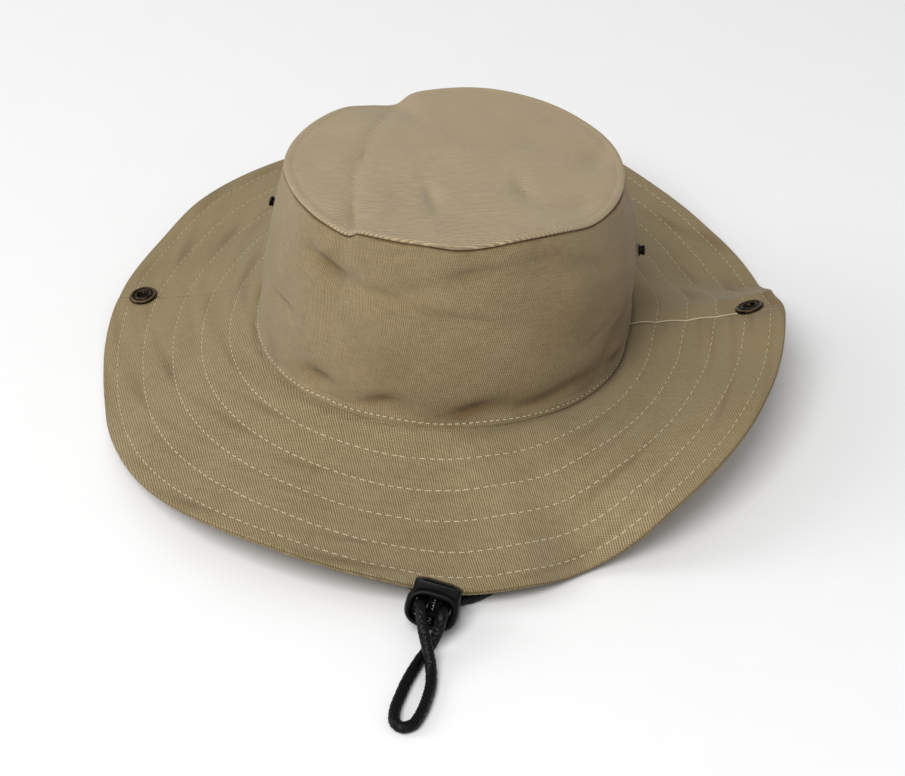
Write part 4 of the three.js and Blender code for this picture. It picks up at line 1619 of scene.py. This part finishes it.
    def build_tip(self) -> Piece:
        """Lays the tip panel, a square grid drawn out to an oval.

        Returns:
            The panel.
        """
        rings = np.concatenate([
            np.linspace(0.0, 0.93, self.tip_rings // 2),
            [0.945, 0.955, 0.965, 0.975, 0.983, 0.989, 0.993, 0.996, 0.998, 1.0, 1.0001],
        ])
        line = np.concatenate([-rings[:0:-1], rings])
        across, down = np.meshgrid(line, line)
        reach = np.maximum(np.maximum(np.abs(across), np.abs(down)), 0.002)
        angle = np.degrees(self.square_angle(across, down))
        plan = self.tip_surface(angle, reach)
        lift = self.tip_relief(angle, reach)
        sheet = ClothSheet("crown_tip", self.tip_surface, -1, angle, reach, lift, plan[..., :2], self.sheet)
        piece = sheet.build()
        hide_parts("crown_top")
        return piece

    @staticmethod
    def square_angle(across: Array, down: Array) -> Array:
        """Angle at which a point of a square lands when the square is drawn out to a disc.

        Args:
            across: First coordinates, from -1 to 1.
            down: Second coordinates.

        Returns:
            The angles, in radians.
        """
        quarter = math.pi / 4.0
        with np.errstate(divide="ignore", invalid="ignore"):
            flat = quarter * down / across
            steep = math.pi / 2.0 - quarter * across / down
        angle = np.where(np.abs(across) >= np.abs(down), flat, steep)
        half_turn = np.where(np.abs(across) >= np.abs(down), across < 0.0, down < 0.0)
        return np.nan_to_num(angle + math.pi * half_turn)

    def build_stitches(self) -> list[Piece]:
        """Sews the base and tip topstitching.

        Returns:
            The base seam's stitches, the tip's, and the painted shade of the needle holes of both.
        """
        angles = np.linspace(0.0, 360.0, self.line_points)
        heights = np.full_like(angles, self.stitch_height)
        lift = self.wall_relief(angles, heights) + self.sheet / 2.0 + 0.08
        base = StitchRow(FORM.wall, 1, angles, heights, lift, pitch=3.0, length=2.2, width=0.42, seed=3)
        reach = np.full_like(angles, 1.0 - self.tip_stitch / self.tip_reach)
        lift = self.tip_relief(angles, reach) + self.sheet / 2.0 + 0.02
        tip = StitchRow(
            self.tip_surface, -1, angles, reach, lift, pitch=3.3, length=2.3, width=0.42, seed=4
        )
        return [
            sew("crown_base_stitches", [base]), sew("crown_tip_stitches", [tip]),
            sew("crown_needle_holes", [base.holes(), tip.holes()]),
        ]


# ---------------------------------------------------------------- the brim


@dataclass
class Brim:
    """The quilted brim: two layers of two panels, with five stitched rows."""

    sheet: float = 0.6
    rim_roll: float = 0.35
    puff: float = 0.12
    groove: float = 0.3
    pucker: float = 9.0
    # rubbed: strength of the brown, uneven tone in patches and painted shade beside the stitched rows
    rubbed: float = 0.42
    rim_darkening: float = 0.12
    tuck: float = 1.5
    seam_depth: float = 0.3
    seam_radius: float = 82.0
    stitch_runs: tuple[float, ...] = (11.9, 25.7, 39.6, 54.0, 66.3)
    columns: int = 290
    line_points: int = 2161
    inner_edge: float = -1.9

    def relief(self, angle: Array, run: Array, seed: int) -> Array:
        """How far a layer puffs out between the stitched rows and is drawn in at them.

        Args:
            angle: Angles round the hat, in degrees.
            run: Distances along the cloth from the base seam.
            seed: Start of the random draws.

        Returns:
            The distance at each point.
        """
        along = np.radians(angle) * (WAIST + run)
        out = self.puff * Ripples(22.0, seed)(along, run)
        for row in self.stitch_runs:
            pull = 0.85 + 0.15 * np.sin(2.0 * math.pi * along / self.pucker + row)
            out = out - self.groove * pull * bump(run, row, 1.3)
        return out

    def shade(self, angle: Array, run: Array, seed: int) -> Array:
        """How brown the cloth is painted: uneven tone in patches, with painted shade just outside the
        stitched rows, and darker along the rim.

        Args:
            angle: Angles round the hat, in degrees.
            run: Distances along the cloth from the base seam.
            seed: Start of the random draws.

        Returns:
            0 for plain cloth, and up to 1.
        """
        along = np.radians(angle) * (WAIST + run)
        patches = smoothstep(Ripples(38.0, seed + 1)(along, 1.6 * run), 0.0, 1.6)
        # painted shade of the quilting, just outside each stitched row
        beside = sum(bump(run, row + 2.6, 2.6) for row in self.stitch_runs)
        edge = self.rim_darkening * bump(run, FORM.brim_width, 1.2)
        return self.rubbed * patches * (0.35 + 0.65 * beside) + edge

    def rim_rows(self) -> tuple[Array, Array, Array]:
        """Rows of a layer from the crown to the rim, and round its turned edge.

        Returns:
            The run of each row, its lift and how much of the relief it takes.
        """
        outside = FORM.brim_half - self.sheet / 2.0
        centre = FORM.brim_width - self.rim_roll - self.sheet / 2.0
        plain = np.concatenate([[self.inner_edge, -1.0, 0.0, 1.0, 2.0], np.linspace(3.2, centre - 1.2, 52)])
        bend = np.radians(np.array([90.0, 62.0, 36.0, 12.0, -12.0, -36.0, -62.0, -90.0]))
        roll_run = centre + self.rim_roll * np.cos(bend)
        roll_lift = outside - self.rim_roll + self.rim_roll * np.sin(bend)
        back_run = np.array([centre - 0.8, centre - 2.0])
        run = np.concatenate([plain, [centre - 0.6], roll_run, back_run])
        inner = np.full(2, roll_lift[-1])
        lift = np.concatenate([np.full(len(plain), outside), [outside], roll_lift, inner])
        taper = 1.0 - smoothstep(plain, centre - 3.0, centre)
        take = np.concatenate([taper, np.zeros(len(run) - len(plain))])
        lift[: len(plain)] -= self.tuck * (1.0 - smoothstep(plain, self.inner_edge, 2.4))
        return run, lift, take

    def build_layer(self, layer: Layer, half: Half) -> Piece:
        """Lays one panel of one layer.

        Args:
            layer: Upper or under layer.
            half: Front or back panel.

        Returns:
            The panel.
        """
        first, last = half.value
        run, lift, take = self.rim_rows()
        columns, rows = np.meshgrid(half_columns(first, last, self.columns), run)
        lifts = lift[:, None] + take[:, None] * self.relief(columns, rows, self.seed(layer))
        lifts = lifts - seam_dip(columns, first, last, self.seam_radius + rows, self.seam_depth)
        plan = FORM.brim(columns, rows)[..., :2]
        name = f"{layer.name.lower()}_brim_{half.name.lower()}"
        shade = self.shade(columns, rows, self.seed(layer))
        sheet = ClothSheet(name, FORM.brim, -layer.value, columns, rows, lifts, plan, self.sheet, shade)
        piece = sheet.build()
        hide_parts(f"brim_{layer.name.lower()}_{half.name.lower()}")
        return piece

    @staticmethod
    def seed(layer: Layer) -> int:
        """Start of a layer's random draws."""
        return 31 + 7 * layer.value

    def build_stitches(self, layer: Layer) -> list[Piece]:
        """Sews the five rows on one layer, and the painted shade of their needle holes.

        Args:
            layer: Upper or under layer.

        Returns:
            The stitches and the painted shade of their holes.
        """
        angles = np.linspace(0.0, 360.0, self.line_points)
        rows = []
        for i, run in enumerate(self.stitch_runs):
            runs = np.full_like(angles, run)
            lift = FORM.brim_half + self.relief(angles, runs, self.seed(layer)) + 0.06
            rows.append(StitchRow(
                FORM.brim, -layer.value, angles, runs, lift, pitch=3.9, length=3.1, width=0.36,
                seed=50 + i + 10 * layer.value,
            ))
        word = layer.name.lower()
        holes = sew(f"brim_needle_holes_{word}", [row.holes() for row in rows])
        return [sew(f"brim_stitches_{word}", rows), holes]

    def build_seam_thread(self) -> Piece:
        """Lays the slack thread along the right side seam, from the crown to the snap.

        Returns:
            The thread.
        """
        runs = np.linspace(0.6, FORM.snap_runs[Side.RIGHT] - 6.0, 150)
        knots = np.array([0.0, *self.stitch_runs[:4]])
        share = np.interp(runs, knots, np.arange(len(knots)))
        slack = np.sin(math.pi * (share % 1.0))
        angles = Side.RIGHT.value - 1.7 * smoothstep(runs, 2.0, 34.0) + 0.4 * slack
        lift = FORM.brim_half + 0.12 + 0.25 * slack
        points = FORM.brim(angles, runs) - normals_of(FORM.brim, angles, runs) * lift[:, None]
        return thread_along("brim_seam_thread", points, 0.36)


# ---------------------------------------------------------------- snaps


@dataclass
class Snaps:
    """Snap sockets on the brim, studs on the crown, and the caps behind them."""

    radius: float = 6.5
    hole: float = 2.2
    cap: float = 6.1
    cap_rise: float = 1.1
    stud_base: float = 3.0
    stud_neck: float = 1.8
    stud_head: float = 2.35
    stud_rise: float = 3.1
    stud_cap: float = 4.4
    wall_half: float = 0.7
    gap: float = 0.3
    axis: float = 0.05
    sides: int = 48

    @staticmethod
    def seat(point: Array, normal: Array) -> Matrix:
        """Place whose Z axis stands on a normal."""
        turn = Vector((0, 0, 1)).rotation_difference(Vector(normal))
        return Matrix.Translation(Vector(point)) @ turn.to_matrix().to_4x4()

    def socket(self, name: str) -> Piece:
        """Models a socket: a rolled outer ring, a sunk web and a raised collar round its dark well.

        Args:
            name: The piece's name.

        Returns:
            The new piece.
        """
        seat = FORM.brim_half + self.gap
        r = self.radius
        profile = [
            (self.axis, seat), (r - 0.5, seat), (r, seat + 0.35), (r - 0.15, seat + 1.0),
            (r * 0.86, seat + 1.5), (r * 0.76, seat + 1.45), (r * 0.69, seat + 1.05), (r * 0.63, seat + 1.0),
            (r * 0.58, seat + 1.4), (r * 0.52, seat + 1.6), (r * 0.46, seat + 1.5),
            (self.hole + 0.3, seat + 0.9), (self.hole, seat + 0.4), (self.hole - 0.3, seat + 0.3),
            (self.axis, seat + 0.3),
        ]
        piece = turned(name, profile, self.sides)
        subdivide(piece, 2)
        return piece

    def rivet(self, name: str, radius: float, rise: float, half: float) -> Piece:
        """Models a domed cap under a cloth of half thickness `half`.

        Args:
            name: The piece's name.
            radius: Its radius.
            rise: How far its dome stands out.
            half: Half the thickness of the cloth.

        Returns:
            The new piece.
        """
        top = -half - self.gap
        profile = [
            (self.axis, top), (radius * 0.6, top), (radius - 0.1, top), (radius, top - 0.25),
            (radius * 0.9, top - rise * 0.75), (radius * 0.6, top - rise), (radius * 0.3, top - rise * 0.92),
            (self.axis, top - rise * 0.9),
        ]
        piece = turned(name, profile, self.sides)
        subdivide(piece, 1)
        return piece

    def stud(self, name: str) -> Piece:
        """Models a stud: a flange, a neck and a rounded head.

        Args:
            name: The piece's name.

        Returns:
            The new piece.
        """
        seat = self.wall_half + self.gap
        top = seat + self.stud_rise
        profile = [
            (self.axis, seat), (self.stud_base - 0.3, seat), (self.stud_base, seat + 0.2),
            (self.stud_base * 0.9, seat + 0.65), (self.stud_base * 0.6, seat + 0.8),
            (self.stud_neck + 0.3, seat + 1.0), (self.stud_neck, seat + 1.5), (self.stud_neck, top - 1.7),
            (self.stud_head, top - 1.25), (self.stud_head, top - 0.7), (self.stud_head * 0.72, top - 0.1),
            (self.stud_head * 0.3, top), (self.axis, top),
        ]
        piece = turned(name, profile, self.sides)
        subdivide(piece, 1)
        return piece

    def finish(self, piece: Piece, place: Matrix, node: str) -> Piece:
        """Marks where a piece is rubbed bright, seats it and lets it stand for its CAD node.

        Args:
            piece: The piece.
            place: Its place.
            node: The CAD node.

        Returns:
            The piece.
        """
        points = points_of(piece)
        radius = np.hypot(points[:, 0], points[:, 1])
        height = np.abs(points[:, 2])
        low, high = height.min(), height.max()
        wear_and_shade = smoothstep((height - low) / (high - low), 0.55, 1.0) * 0.5
        wear_and_shade = wear_and_shade + 0.35 * bump(radius, self.radius * 0.9, 0.7)
        wear_and_shade = wear_and_shade - 0.6 * (1.0 - smoothstep(radius, self.hole, self.hole + 0.9))
        write_value(piece, "wear_and_shade", wear_and_shade)
        settle_in_place(piece, place)
        smooth(piece)
        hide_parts(node)
        return piece

    def build(self) -> list[Piece]:
        """Models and seats all snap pieces.

        Returns:
            A socket, its cap, a stud and its cap for each side.
        """
        made = []
        for side in Side:
            word = side.name.lower()
            point, normal = FORM.snap_seat(side)
            on_brim = self.seat(point, normal)
            angle, height = np.array(side.value), np.array(FORM.stud_heights[side])
            on_wall = self.seat(FORM.wall(angle, height), normals_of(FORM.wall, angle, height))
            made += [
                self.finish(self.socket(f"socket_{word}"), on_brim, f"snap_socket_{word}"),
                self.finish(
                    self.rivet(f"brim_cap_{word}", self.cap, self.cap_rise, FORM.brim_half),
                    on_brim, f"snap_cap_{word}",
                ),
                self.finish(self.stud(f"stud_{word}"), on_wall, f"snap_stud_{word}"),
                self.finish(
                    self.rivet(f"wall_cap_{word}", self.stud_cap, rise=0.9, half=1.0),
                    on_wall, f"stud_cap_{word}",
                ),
            ]
        return made


# ---------------------------------------------------------------- cord lock


def square_oval(half_width: float, half_height: float, power: float, angle: Array) -> Array:
    """Points of an oval that is a little square.

    Args:
        half_width: Half its width.
        half_height: Half its height.
        power: 2 for a plain oval, and more for a squarer one.
        angle: Angles round it, in radians.

    Returns:
        Width and height of each point from its middle.
    """
    across, up = np.cos(angle), np.sin(angle)
    x = half_width * np.sign(across) * np.abs(across) ** (2.0 / power)
    z = half_height * np.sign(up) * np.abs(up) ** (2.0 / power)
    return np.stack([x, z], axis=-1)


@dataclass
class CordLock:
    """The cord lock, upright in its own frame: mouth along Y, button along Z."""

    x: float = 31.7
    y: float = -181.3
    z: float = 10.2
    lean: float = 34.0
    roll: float = 12.0
    yaw: float = 6.0
    width: float = 22.0
    top: float = 7.7
    bottom: float = -9.0
    depth: float = 12.0
    square: float = 2.6
    mouth_width: float = 14.0
    mouth_top: float = 2.9
    mouth_bottom: float = -5.9
    mouth_square: float = 4.5
    button_width: float = 19.0
    button_crown: float = 1.5
    button_depth: float = 8.2
    button_top: float = 10.4
    button_bottom: float = -4.1
    slot_width: float = 14.6
    slot_top: float = 6.1
    slot_bottom: float = -1.85
    travel: float = 2.7
    gap: float = 0.3
    # the web behind the spring: a dark wall that stands for the shade inside the lock
    shade_web_width: float = 4.6
    shade_web_depth: float = 1.3
    spring_radius: float = 0.75
    spring_wire: float = 0.42
    spring_turns: int = 10

    def place(self) -> Matrix:
        """The lock's place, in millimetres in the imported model's frame.

        Returns:
            The place.
        """
        x, y, z = placed(np.array([self.x, self.y, self.z]))
        lean = Matrix.Rotation(-math.radians(self.lean), 4, "X")
        roll = Matrix.Rotation(math.radians(self.roll), 4, "Y")
        yaw = Matrix.Rotation(math.radians(self.yaw), 4, "Z")
        return Matrix.Translation((x, y, z)) @ yaw @ lean @ roll

    @property
    def shaft_floor(self) -> float:
        """Bottom of the shaft in which the button slides."""
        return self.button_bottom - self.travel - self.gap

    def block(self, width: float, depth: float, low: float, high: float, corner: float) -> Piece:
        """Models a block with rounded upright edges.

        Args:
            width: Its width, along X.
            depth: Its depth, along Y.
            low: Height of its underside.
            high: Height of its top.
            corner: How wide its upright edges are rounded.

        Returns:
            The new piece.
        """
        deselect()
        middle, size = (0, 0, (low + high) / 2.0), (width, depth, high - low)
        bpy.ops.mesh.primitive_cube_add(size=1.0, location=middle, scale=size)
        piece = bpy.context.object
        bpy.ops.object.transform_apply(location=True, scale=True)
        with editing(piece):
            bpy.ops.mesh.select_all(action="DESELECT")
        for edge in piece.data.edges:
            ends = [piece.data.vertices[i].co for i in edge.vertices]
            edge.select = abs(ends[0].z - ends[1].z) > 0.5 * (high - low)
        bpy.ops.object.mode_set(mode="EDIT")
        bpy.ops.mesh.bevel(offset=corner, segments=6, affect="EDGES")
        bpy.ops.object.mode_set(mode="OBJECT")
        return piece

    def build_body(self) -> Piece:
        """Models the body: a thick soft ring round the mouth, the shaft, and a dark web behind the spring
        that stands for the shade inside the lock.

        Returns:
            The body.
        """
        deselect()
        around, section = 96, 28
        bpy.ops.mesh.primitive_torus_add(
            major_segments=around, minor_segments=section, major_radius=2, minor_radius=1
        )
        piece = named("cord_lock_body")
        points = points_of(piece)
        turn = np.arctan2(points[:, 1], points[:, 0])
        out = np.hypot(points[:, 0], points[:, 1]) - 2.0
        outer = square_oval(self.width / 2.0, (self.top - self.bottom) / 2.0, self.square, turn)
        outer[:, 1] += (self.top + self.bottom) / 2.0
        mouth_half = (self.mouth_top - self.mouth_bottom) / 2.0
        inner = square_oval(self.mouth_width / 2.0, mouth_half, self.mouth_square, turn)
        inner[:, 1] += (self.mouth_top + self.mouth_bottom) / 2.0
        share = 0.5 + 0.5 * np.sign(out) * np.abs(out) ** 0.85
        flat = inner + (outer - inner) * share[:, None]
        deep = self.depth / 2.0 * np.sign(points[:, 2]) * np.abs(points[:, 2]) ** 0.9
        shaped = np.stack([flat[:, 0], deep, flat[:, 1]], axis=-1)
        move_points(piece, shaped)
        recalculate(piece)
        width = self.button_width + 2.0 * self.gap
        depth = self.button_depth + 2.0 * self.gap
        shaft = self.block(width, depth, self.shaft_floor, self.top + 4.0, corner=1.7)
        combine(piece, shaft, Cut.AWAY)
        # a dark web behind the spring, as painted shade for the lock's dark inside
        web = self.block(self.shade_web_width, self.shade_web_depth, self.bottom + 1.5, self.top - 3.0, corner=0.3)
        for vertex in web.data.vertices:
            vertex.co.y += self.depth / 2.0 - self.shade_web_depth / 2.0 - 0.2
        combine(piece, web, Cut.JOINED)
        return self.finish(piece, "lock_body", HAT_BODY)

    def build_button(self) -> Piece:
        """Models the button: a rounded plunger with a slot for the cord.

        Returns:
            The button.
        """
        self.block(self.button_width, self.button_depth, self.button_bottom, self.button_top, corner=1.5)
        piece = named("cord_lock_button")
        deselect()
        radius = (self.button_width / 2.0) ** 2 / (2.0 * self.button_crown)
        bpy.ops.mesh.primitive_cylinder_add(
            vertices=360, radius=radius, depth=4.0 * self.button_depth, rotation=(math.pi / 2.0, 0, 0),
            location=(0, 0, self.button_top + 0.3 - radius),
        )
        combine(piece, bpy.context.object, Cut.SHARED)
        apply_modifier(piece, "BEVEL", width=0.35, segments=3, limit_method="ANGLE", angle_limit=0.6)
        through = self.button_depth + 4.0
        slot = self.block(self.slot_width, through, self.slot_bottom, self.slot_top, corner=0.01)
        combine(piece, slot, Cut.AWAY)
        return self.finish(piece, "lock_button", BUTTON_BODY)

    def build_spring(self) -> Piece:
        """Models the coil spring between the shaft's floor and the button's slot.

        Returns:
            The spring.
        """
        deselect()
        low = self.shaft_floor + self.spring_wire
        high = self.slot_top - self.spring_wire
        bpy.ops.mesh.primitive_circle_add(
            vertices=10, radius=self.spring_wire / 2.0, location=(self.spring_radius, 0, low),
            rotation=(math.pi / 2.0, 0, 0),
        )
        piece = named("cord_lock_spring")
        bpy.ops.object.transform_apply(location=True, rotation=True)
        pitch = (high - low) / self.spring_turns
        apply_modifier(
            piece, "SCREW", angle=2.0 * math.pi, screw_offset=pitch, iterations=self.spring_turns,
            steps=20, render_steps=20, axis="Z",
        )
        with editing(piece):
            bpy.ops.mesh.remove_doubles(threshold=SAME_PLACE)
            bpy.ops.mesh.fill_holes(sides=0)
        recalculate(piece)
        return self.finish(piece, "lock_spring", HAT_BODY)

    def finish(self, piece: Piece, node: str, body: str) -> Piece:
        """Puts a piece in its place and lets it stand for its CAD node.

        Args:
            piece: The piece.
            node: The CAD node.
            body: The body that it rides on.

        Returns:
            The piece.
        """
        settle_in_place(piece, self.place())
        smooth(piece, 40.0)
        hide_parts(node)
        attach(piece, body)
        return piece

    def anchor(self, height: float) -> Vector:
        """A point on the plunger's axis, in metres."""
        return (self.place() @ Vector((0, 0, height))) * MM


# ---------------------------------------------------------------- chin cord


@dataclass
class ChinCord:
    """The braided chin cord, a whole loop from one side seam to the other through the lock."""

    lock: CordLock
    diameter: float = 4.3
    apart: float = 9.4
    height: float = 0.6
    sides: int = 38
    step: float = 0.37
    strands: int = 8
    lay: float = 16.0
    relief: float = 0.56

    def strand_through(self, side: int, first: float, last: float) -> list[Array]:
        """Points of one strand straight through the lock."""
        place = self.lock.place()
        spots = np.linspace(first, last, 3)
        return [np.array(place @ Vector((side * self.apart / 2.0, y, self.height))) for y in spots]

    def route(self) -> Array:
        """The route's own points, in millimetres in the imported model's frame.

        Returns:
            The points, in order.
        """
        back, front = self.lock.depth / 2.0, 0.8 - self.lock.depth / 2.0
        return np.array([
            *placed(CORD_LEFT), *self.strand_through(-1, back, front), *placed(CORD_LOOP),
            *self.strand_through(1, front, back), *placed(CORD_RIGHT),
        ])

    def centreline(self) -> Array:
        """The route as a smooth line of short even steps.

        Returns:
            The points, in order.
        """
        points = self.route()
        padded = np.vstack([2.0 * points[0] - points[1], points, 2.0 * points[-1] - points[-2]])
        fine = []
        for p0, p1, p2, p3 in zip(padded, padded[1:], padded[2:], padded[3:]):
            gaps = [max(np.linalg.norm(b - a), 1e-6) ** 0.5 for a, b in ((p0, p1), (p1, p2), (p2, p3))]
            before = (p1 - p0) / gaps[0] - (p2 - p0) / (gaps[0] + gaps[1]) + (p2 - p1) / gaps[1]
            after = (p2 - p1) / gaps[1] - (p3 - p1) / (gaps[1] + gaps[2]) + (p3 - p2) / gaps[2]
            before, after = before * gaps[1], after * gaps[1]
            for t in np.linspace(0.0, 1.0, 40, endpoint=False):
                fine.append(
                    (2 * t**3 - 3 * t**2 + 1) * p1 + (t**3 - 2 * t**2 + t) * before
                    + (3 * t**2 - 2 * t**3) * p2 + (t**3 - t**2) * after
                )
        line = np.array([*fine, points[-1]])
        run = np.concatenate([[0.0], np.cumsum(np.linalg.norm(np.diff(line, axis=0), axis=1))])
        even = np.linspace(0.0, run[-1], int(run[-1] / self.step) + 1)
        return np.stack([np.interp(even, run, line[:, i]) for i in range(3)], axis=-1)

    def braid(self, turn: Array, run: Array) -> Array:
        """Relief of the braid, from 0 between strands to 1 on their backs.

        Args:
            turn: Angles round the cord, in radians.
            run: Distances along it.

        Returns:
            The relief at each point.
        """
        lay = 2.0 * math.pi * run / self.lay
        one = turn * self.strands / 2.0 + lay * self.strands / 2.0
        other = turn * self.strands / 2.0 - lay * self.strands / 2.0
        over = 0.5 + 0.5 * np.tanh(3.0 * np.sin(one / 2.0) * np.sin(other / 2.0))
        return over * np.abs(np.cos(one)) ** 0.7 + (1.0 - over) * np.abs(np.cos(other)) ** 0.7

    def build(self) -> Piece:
        """Lays the cord as a braided tube along its route.

        Returns:
            The cord.
        """
        line = self.centreline()
        ahead = unit(np.gradient(line, axis=0))
        side = np.empty_like(ahead)
        side[0] = unit(np.cross(ahead[0], [0.0, 1.0, 0.0]))
        for i in range(1, len(line)):
            flat = side[i - 1] - ahead[i] * (side[i - 1] @ ahead[i])
            side[i] = flat / np.linalg.norm(flat)
        up = np.cross(ahead, side)
        turn = np.linspace(0.0, 2.0 * math.pi, self.sides, endpoint=False)
        run = np.arange(len(line)) * self.step
        ridge = self.braid(turn[None, :], run[:, None])
        radius = self.diameter / 2.0 + self.relief * (ridge - 0.65)
        round_it = np.cos(turn)[None, :, None] * side[:, None, :]
        round_it = round_it + np.sin(turn)[None, :, None] * up[:, None, :]
        points = (line[:, None, :] + radius[..., None] * round_it).reshape(-1, 3)
        points = np.vstack([points, line[0], line[-1]])
        count, n = len(line), self.sides
        faces = [
            (i * n + j, i * n + (j + 1) % n, (i + 1) * n + (j + 1) % n, (i + 1) * n + j)
            for i in range(count - 1) for j in range(n)
        ]
        last = (count - 1) * n
        faces += [(count * n, (j + 1) % n, j) for j in range(n)]
        faces += [(count * n + 1, last + j, last + (j + 1) % n) for j in range(n)]
        piece = mesh_piece("chin_cord_braid", points, faces)
        write_value(piece, "ridge", np.concatenate([ridge.ravel(), [0.0, 0.0]]))
        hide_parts("chin_cord")
        return piece


# ---------------------------------------------------------------- stage


@dataclass(frozen=True)
class Studio:
    """Plain pale floor, soft light from the left and the camera."""

    target: Triple = (4.74, 0.92, -20.0)
    azimuth: float = 10.35
    elevation: float = 36.58
    roll: float = 1.54
    distance: float = 1145.0
    lens: float = 99.43
    surroundings: float = 0.47
    front_window: Triple = (-0.26, -1.46, 1.89)
    side_window: Triple = (-2.05, -0.36, 1.2)
    window_size: float = 1.2
    front_power: float = 36.0
    side_power: float = 15.0

    def build_camera(self) -> None:
        """Adds the camera."""
        a, e, r = (math.radians(v) for v in (self.azimuth, self.elevation, self.roll))
        back = Vector((math.sin(a) * math.cos(e), -math.cos(a) * math.cos(e), math.sin(e)))
        right = Vector((math.cos(a), math.sin(a), 0.0))
        up = back.cross(right)
        level, upright = right * math.cos(r) + up * math.sin(r), up * math.cos(r) - right * math.sin(r)
        data = bpy.data.cameras.new("camera")
        data.lens = self.lens
        data.sensor_width = 36.0
        data.clip_start, data.clip_end = 0.05, 50.0
        camera = link(bpy.data.objects.new("camera", data))
        turned_to = Matrix((level, upright, back)).transposed().to_4x4()
        middle = (Vector(self.target) + back * self.distance) * MM
        camera.matrix_world = Matrix.Translation(middle) @ turned_to
        bpy.context.scene.camera = camera

    def build_floor(self, shared: SharedGroups) -> None:
        """Adds the floor."""
        deselect()
        bpy.ops.mesh.primitive_plane_add(size=8.0, location=(0, 0, 0))
        floor = bpy.context.object
        floor.name = "floor"
        floor.data.materials.append(PaleFloor().material(shared))

    def area_light(self, name: str, place: Sequence[float], size: float, power: float) -> None:
        """Adds a square light that faces the hat.

        Args:
            name: Its name.
            place: Its place, in metres.
            size: Length of its sides, in metres.
            power: Its power, in watts.
        """
        data = bpy.data.lights.new(name, "AREA")
        data.size = size
        data.energy = power
        lamp = link(bpy.data.objects.new(name, data))
        lamp.location = place
        lamp.rotation_mode = "QUATERNION"
        lamp.rotation_quaternion = (-(Vector(place) - Vector((0, 0, 0.05)))).to_track_quat("-Z", "Y")

    def build_lights(self) -> None:
        """Adds the lights and the white surroundings."""
        world = bpy.data.worlds.new("white_room")
        world.use_nodes = True
        backdrop = world.node_tree.nodes["Background"]
        backdrop.inputs["Color"].default_value = (1.0, 1.0, 1.0, 1.0)
        backdrop.inputs["Strength"].default_value = self.surroundings
        bpy.context.scene.world = world
        self.area_light("front_window", self.front_window, self.window_size, self.front_power)
        self.area_light("side_window", self.side_window, self.window_size, self.side_power)
        bpy.context.scene.view_settings.view_transform = "Standard"
        bpy.context.scene.view_settings.look = "None"


# ---------------------------------------------------------------- dressing


def dress(piece: Piece, material: Material, body: str | None = None) -> None:
    """Gives a piece its material and material slot, and lets it ride.

    Args:
        piece: The piece.
        material: Its finish.
        body: The body that it rides on, if it rides on none yet.
    """
    piece.data.materials.clear()
    piece.data.materials.append(material)
    if body is not None:
        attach(piece, body)
    log.info("%s: %d faces", piece.name, len(piece.data.polygons))


def main() -> None:
    """Builds the hat, its stage and its camera."""
    logging.basicConfig(level=logging.INFO, format="%(message)s")
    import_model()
    studio = Studio()
    studio.build_camera()

    shared = SharedGroups()
    lock = CordLock()
    body, button, spring = lock.build_body(), lock.build_button(), lock.build_spring()
    dress(body, MouldedPlastic("lock_plastic_satin").material(shared))
    dress(button, MouldedPlastic("button_plastic_satin", 0.28).material(shared))
    dress(spring, SpringSteel().material(shared))
    axis = lock.place().to_3x3() @ Vector((0, 0, 1))
    tuple(lock.anchor(lock.shaft_floor))
    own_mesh(spring)
    dress(ChinCord(lock).build(), BraidedCord().material(shared), HAT_BODY)

    crown, brim = Crown(), Brim()
    wall_cloth, tip_cloth, *brim_cloths = (cloth.material(shared) for cloth in DRILLS)
    # the third thread finish is the painted shade in the needle holes
    pale, toned, hole_shade = (thread.material(shared) for thread in THREADS)
    for piece in crown.build_walls():
        dress(piece, wall_cloth, HAT_BODY)
    dress(crown.build_tip(), tip_cloth, HAT_BODY)
    for piece, thread in zip(crown.build_stitches(), (pale, toned, hole_shade)):
        dress(piece, thread, HAT_BODY)
    for layer, cloth, slot in zip(Layer, brim_cloths, ("drill", "under_drill")):
        for half in Half:
            dress(brim.build_layer(layer, half), cloth, HAT_BODY)
        for piece, thread in zip(brim.build_stitches(layer), (pale, hole_shade)):
            dress(piece, thread, HAT_BODY)
    dress(brim.build_seam_thread(), pale, HAT_BODY)

    brass = AntiqueBrass().material(shared)
    for piece in Snaps().build():
        dress(piece, brass, HAT_BODY)

    studio.build_floor(shared)
    studio.build_lights()


if __name__ == "__main__":
    main()
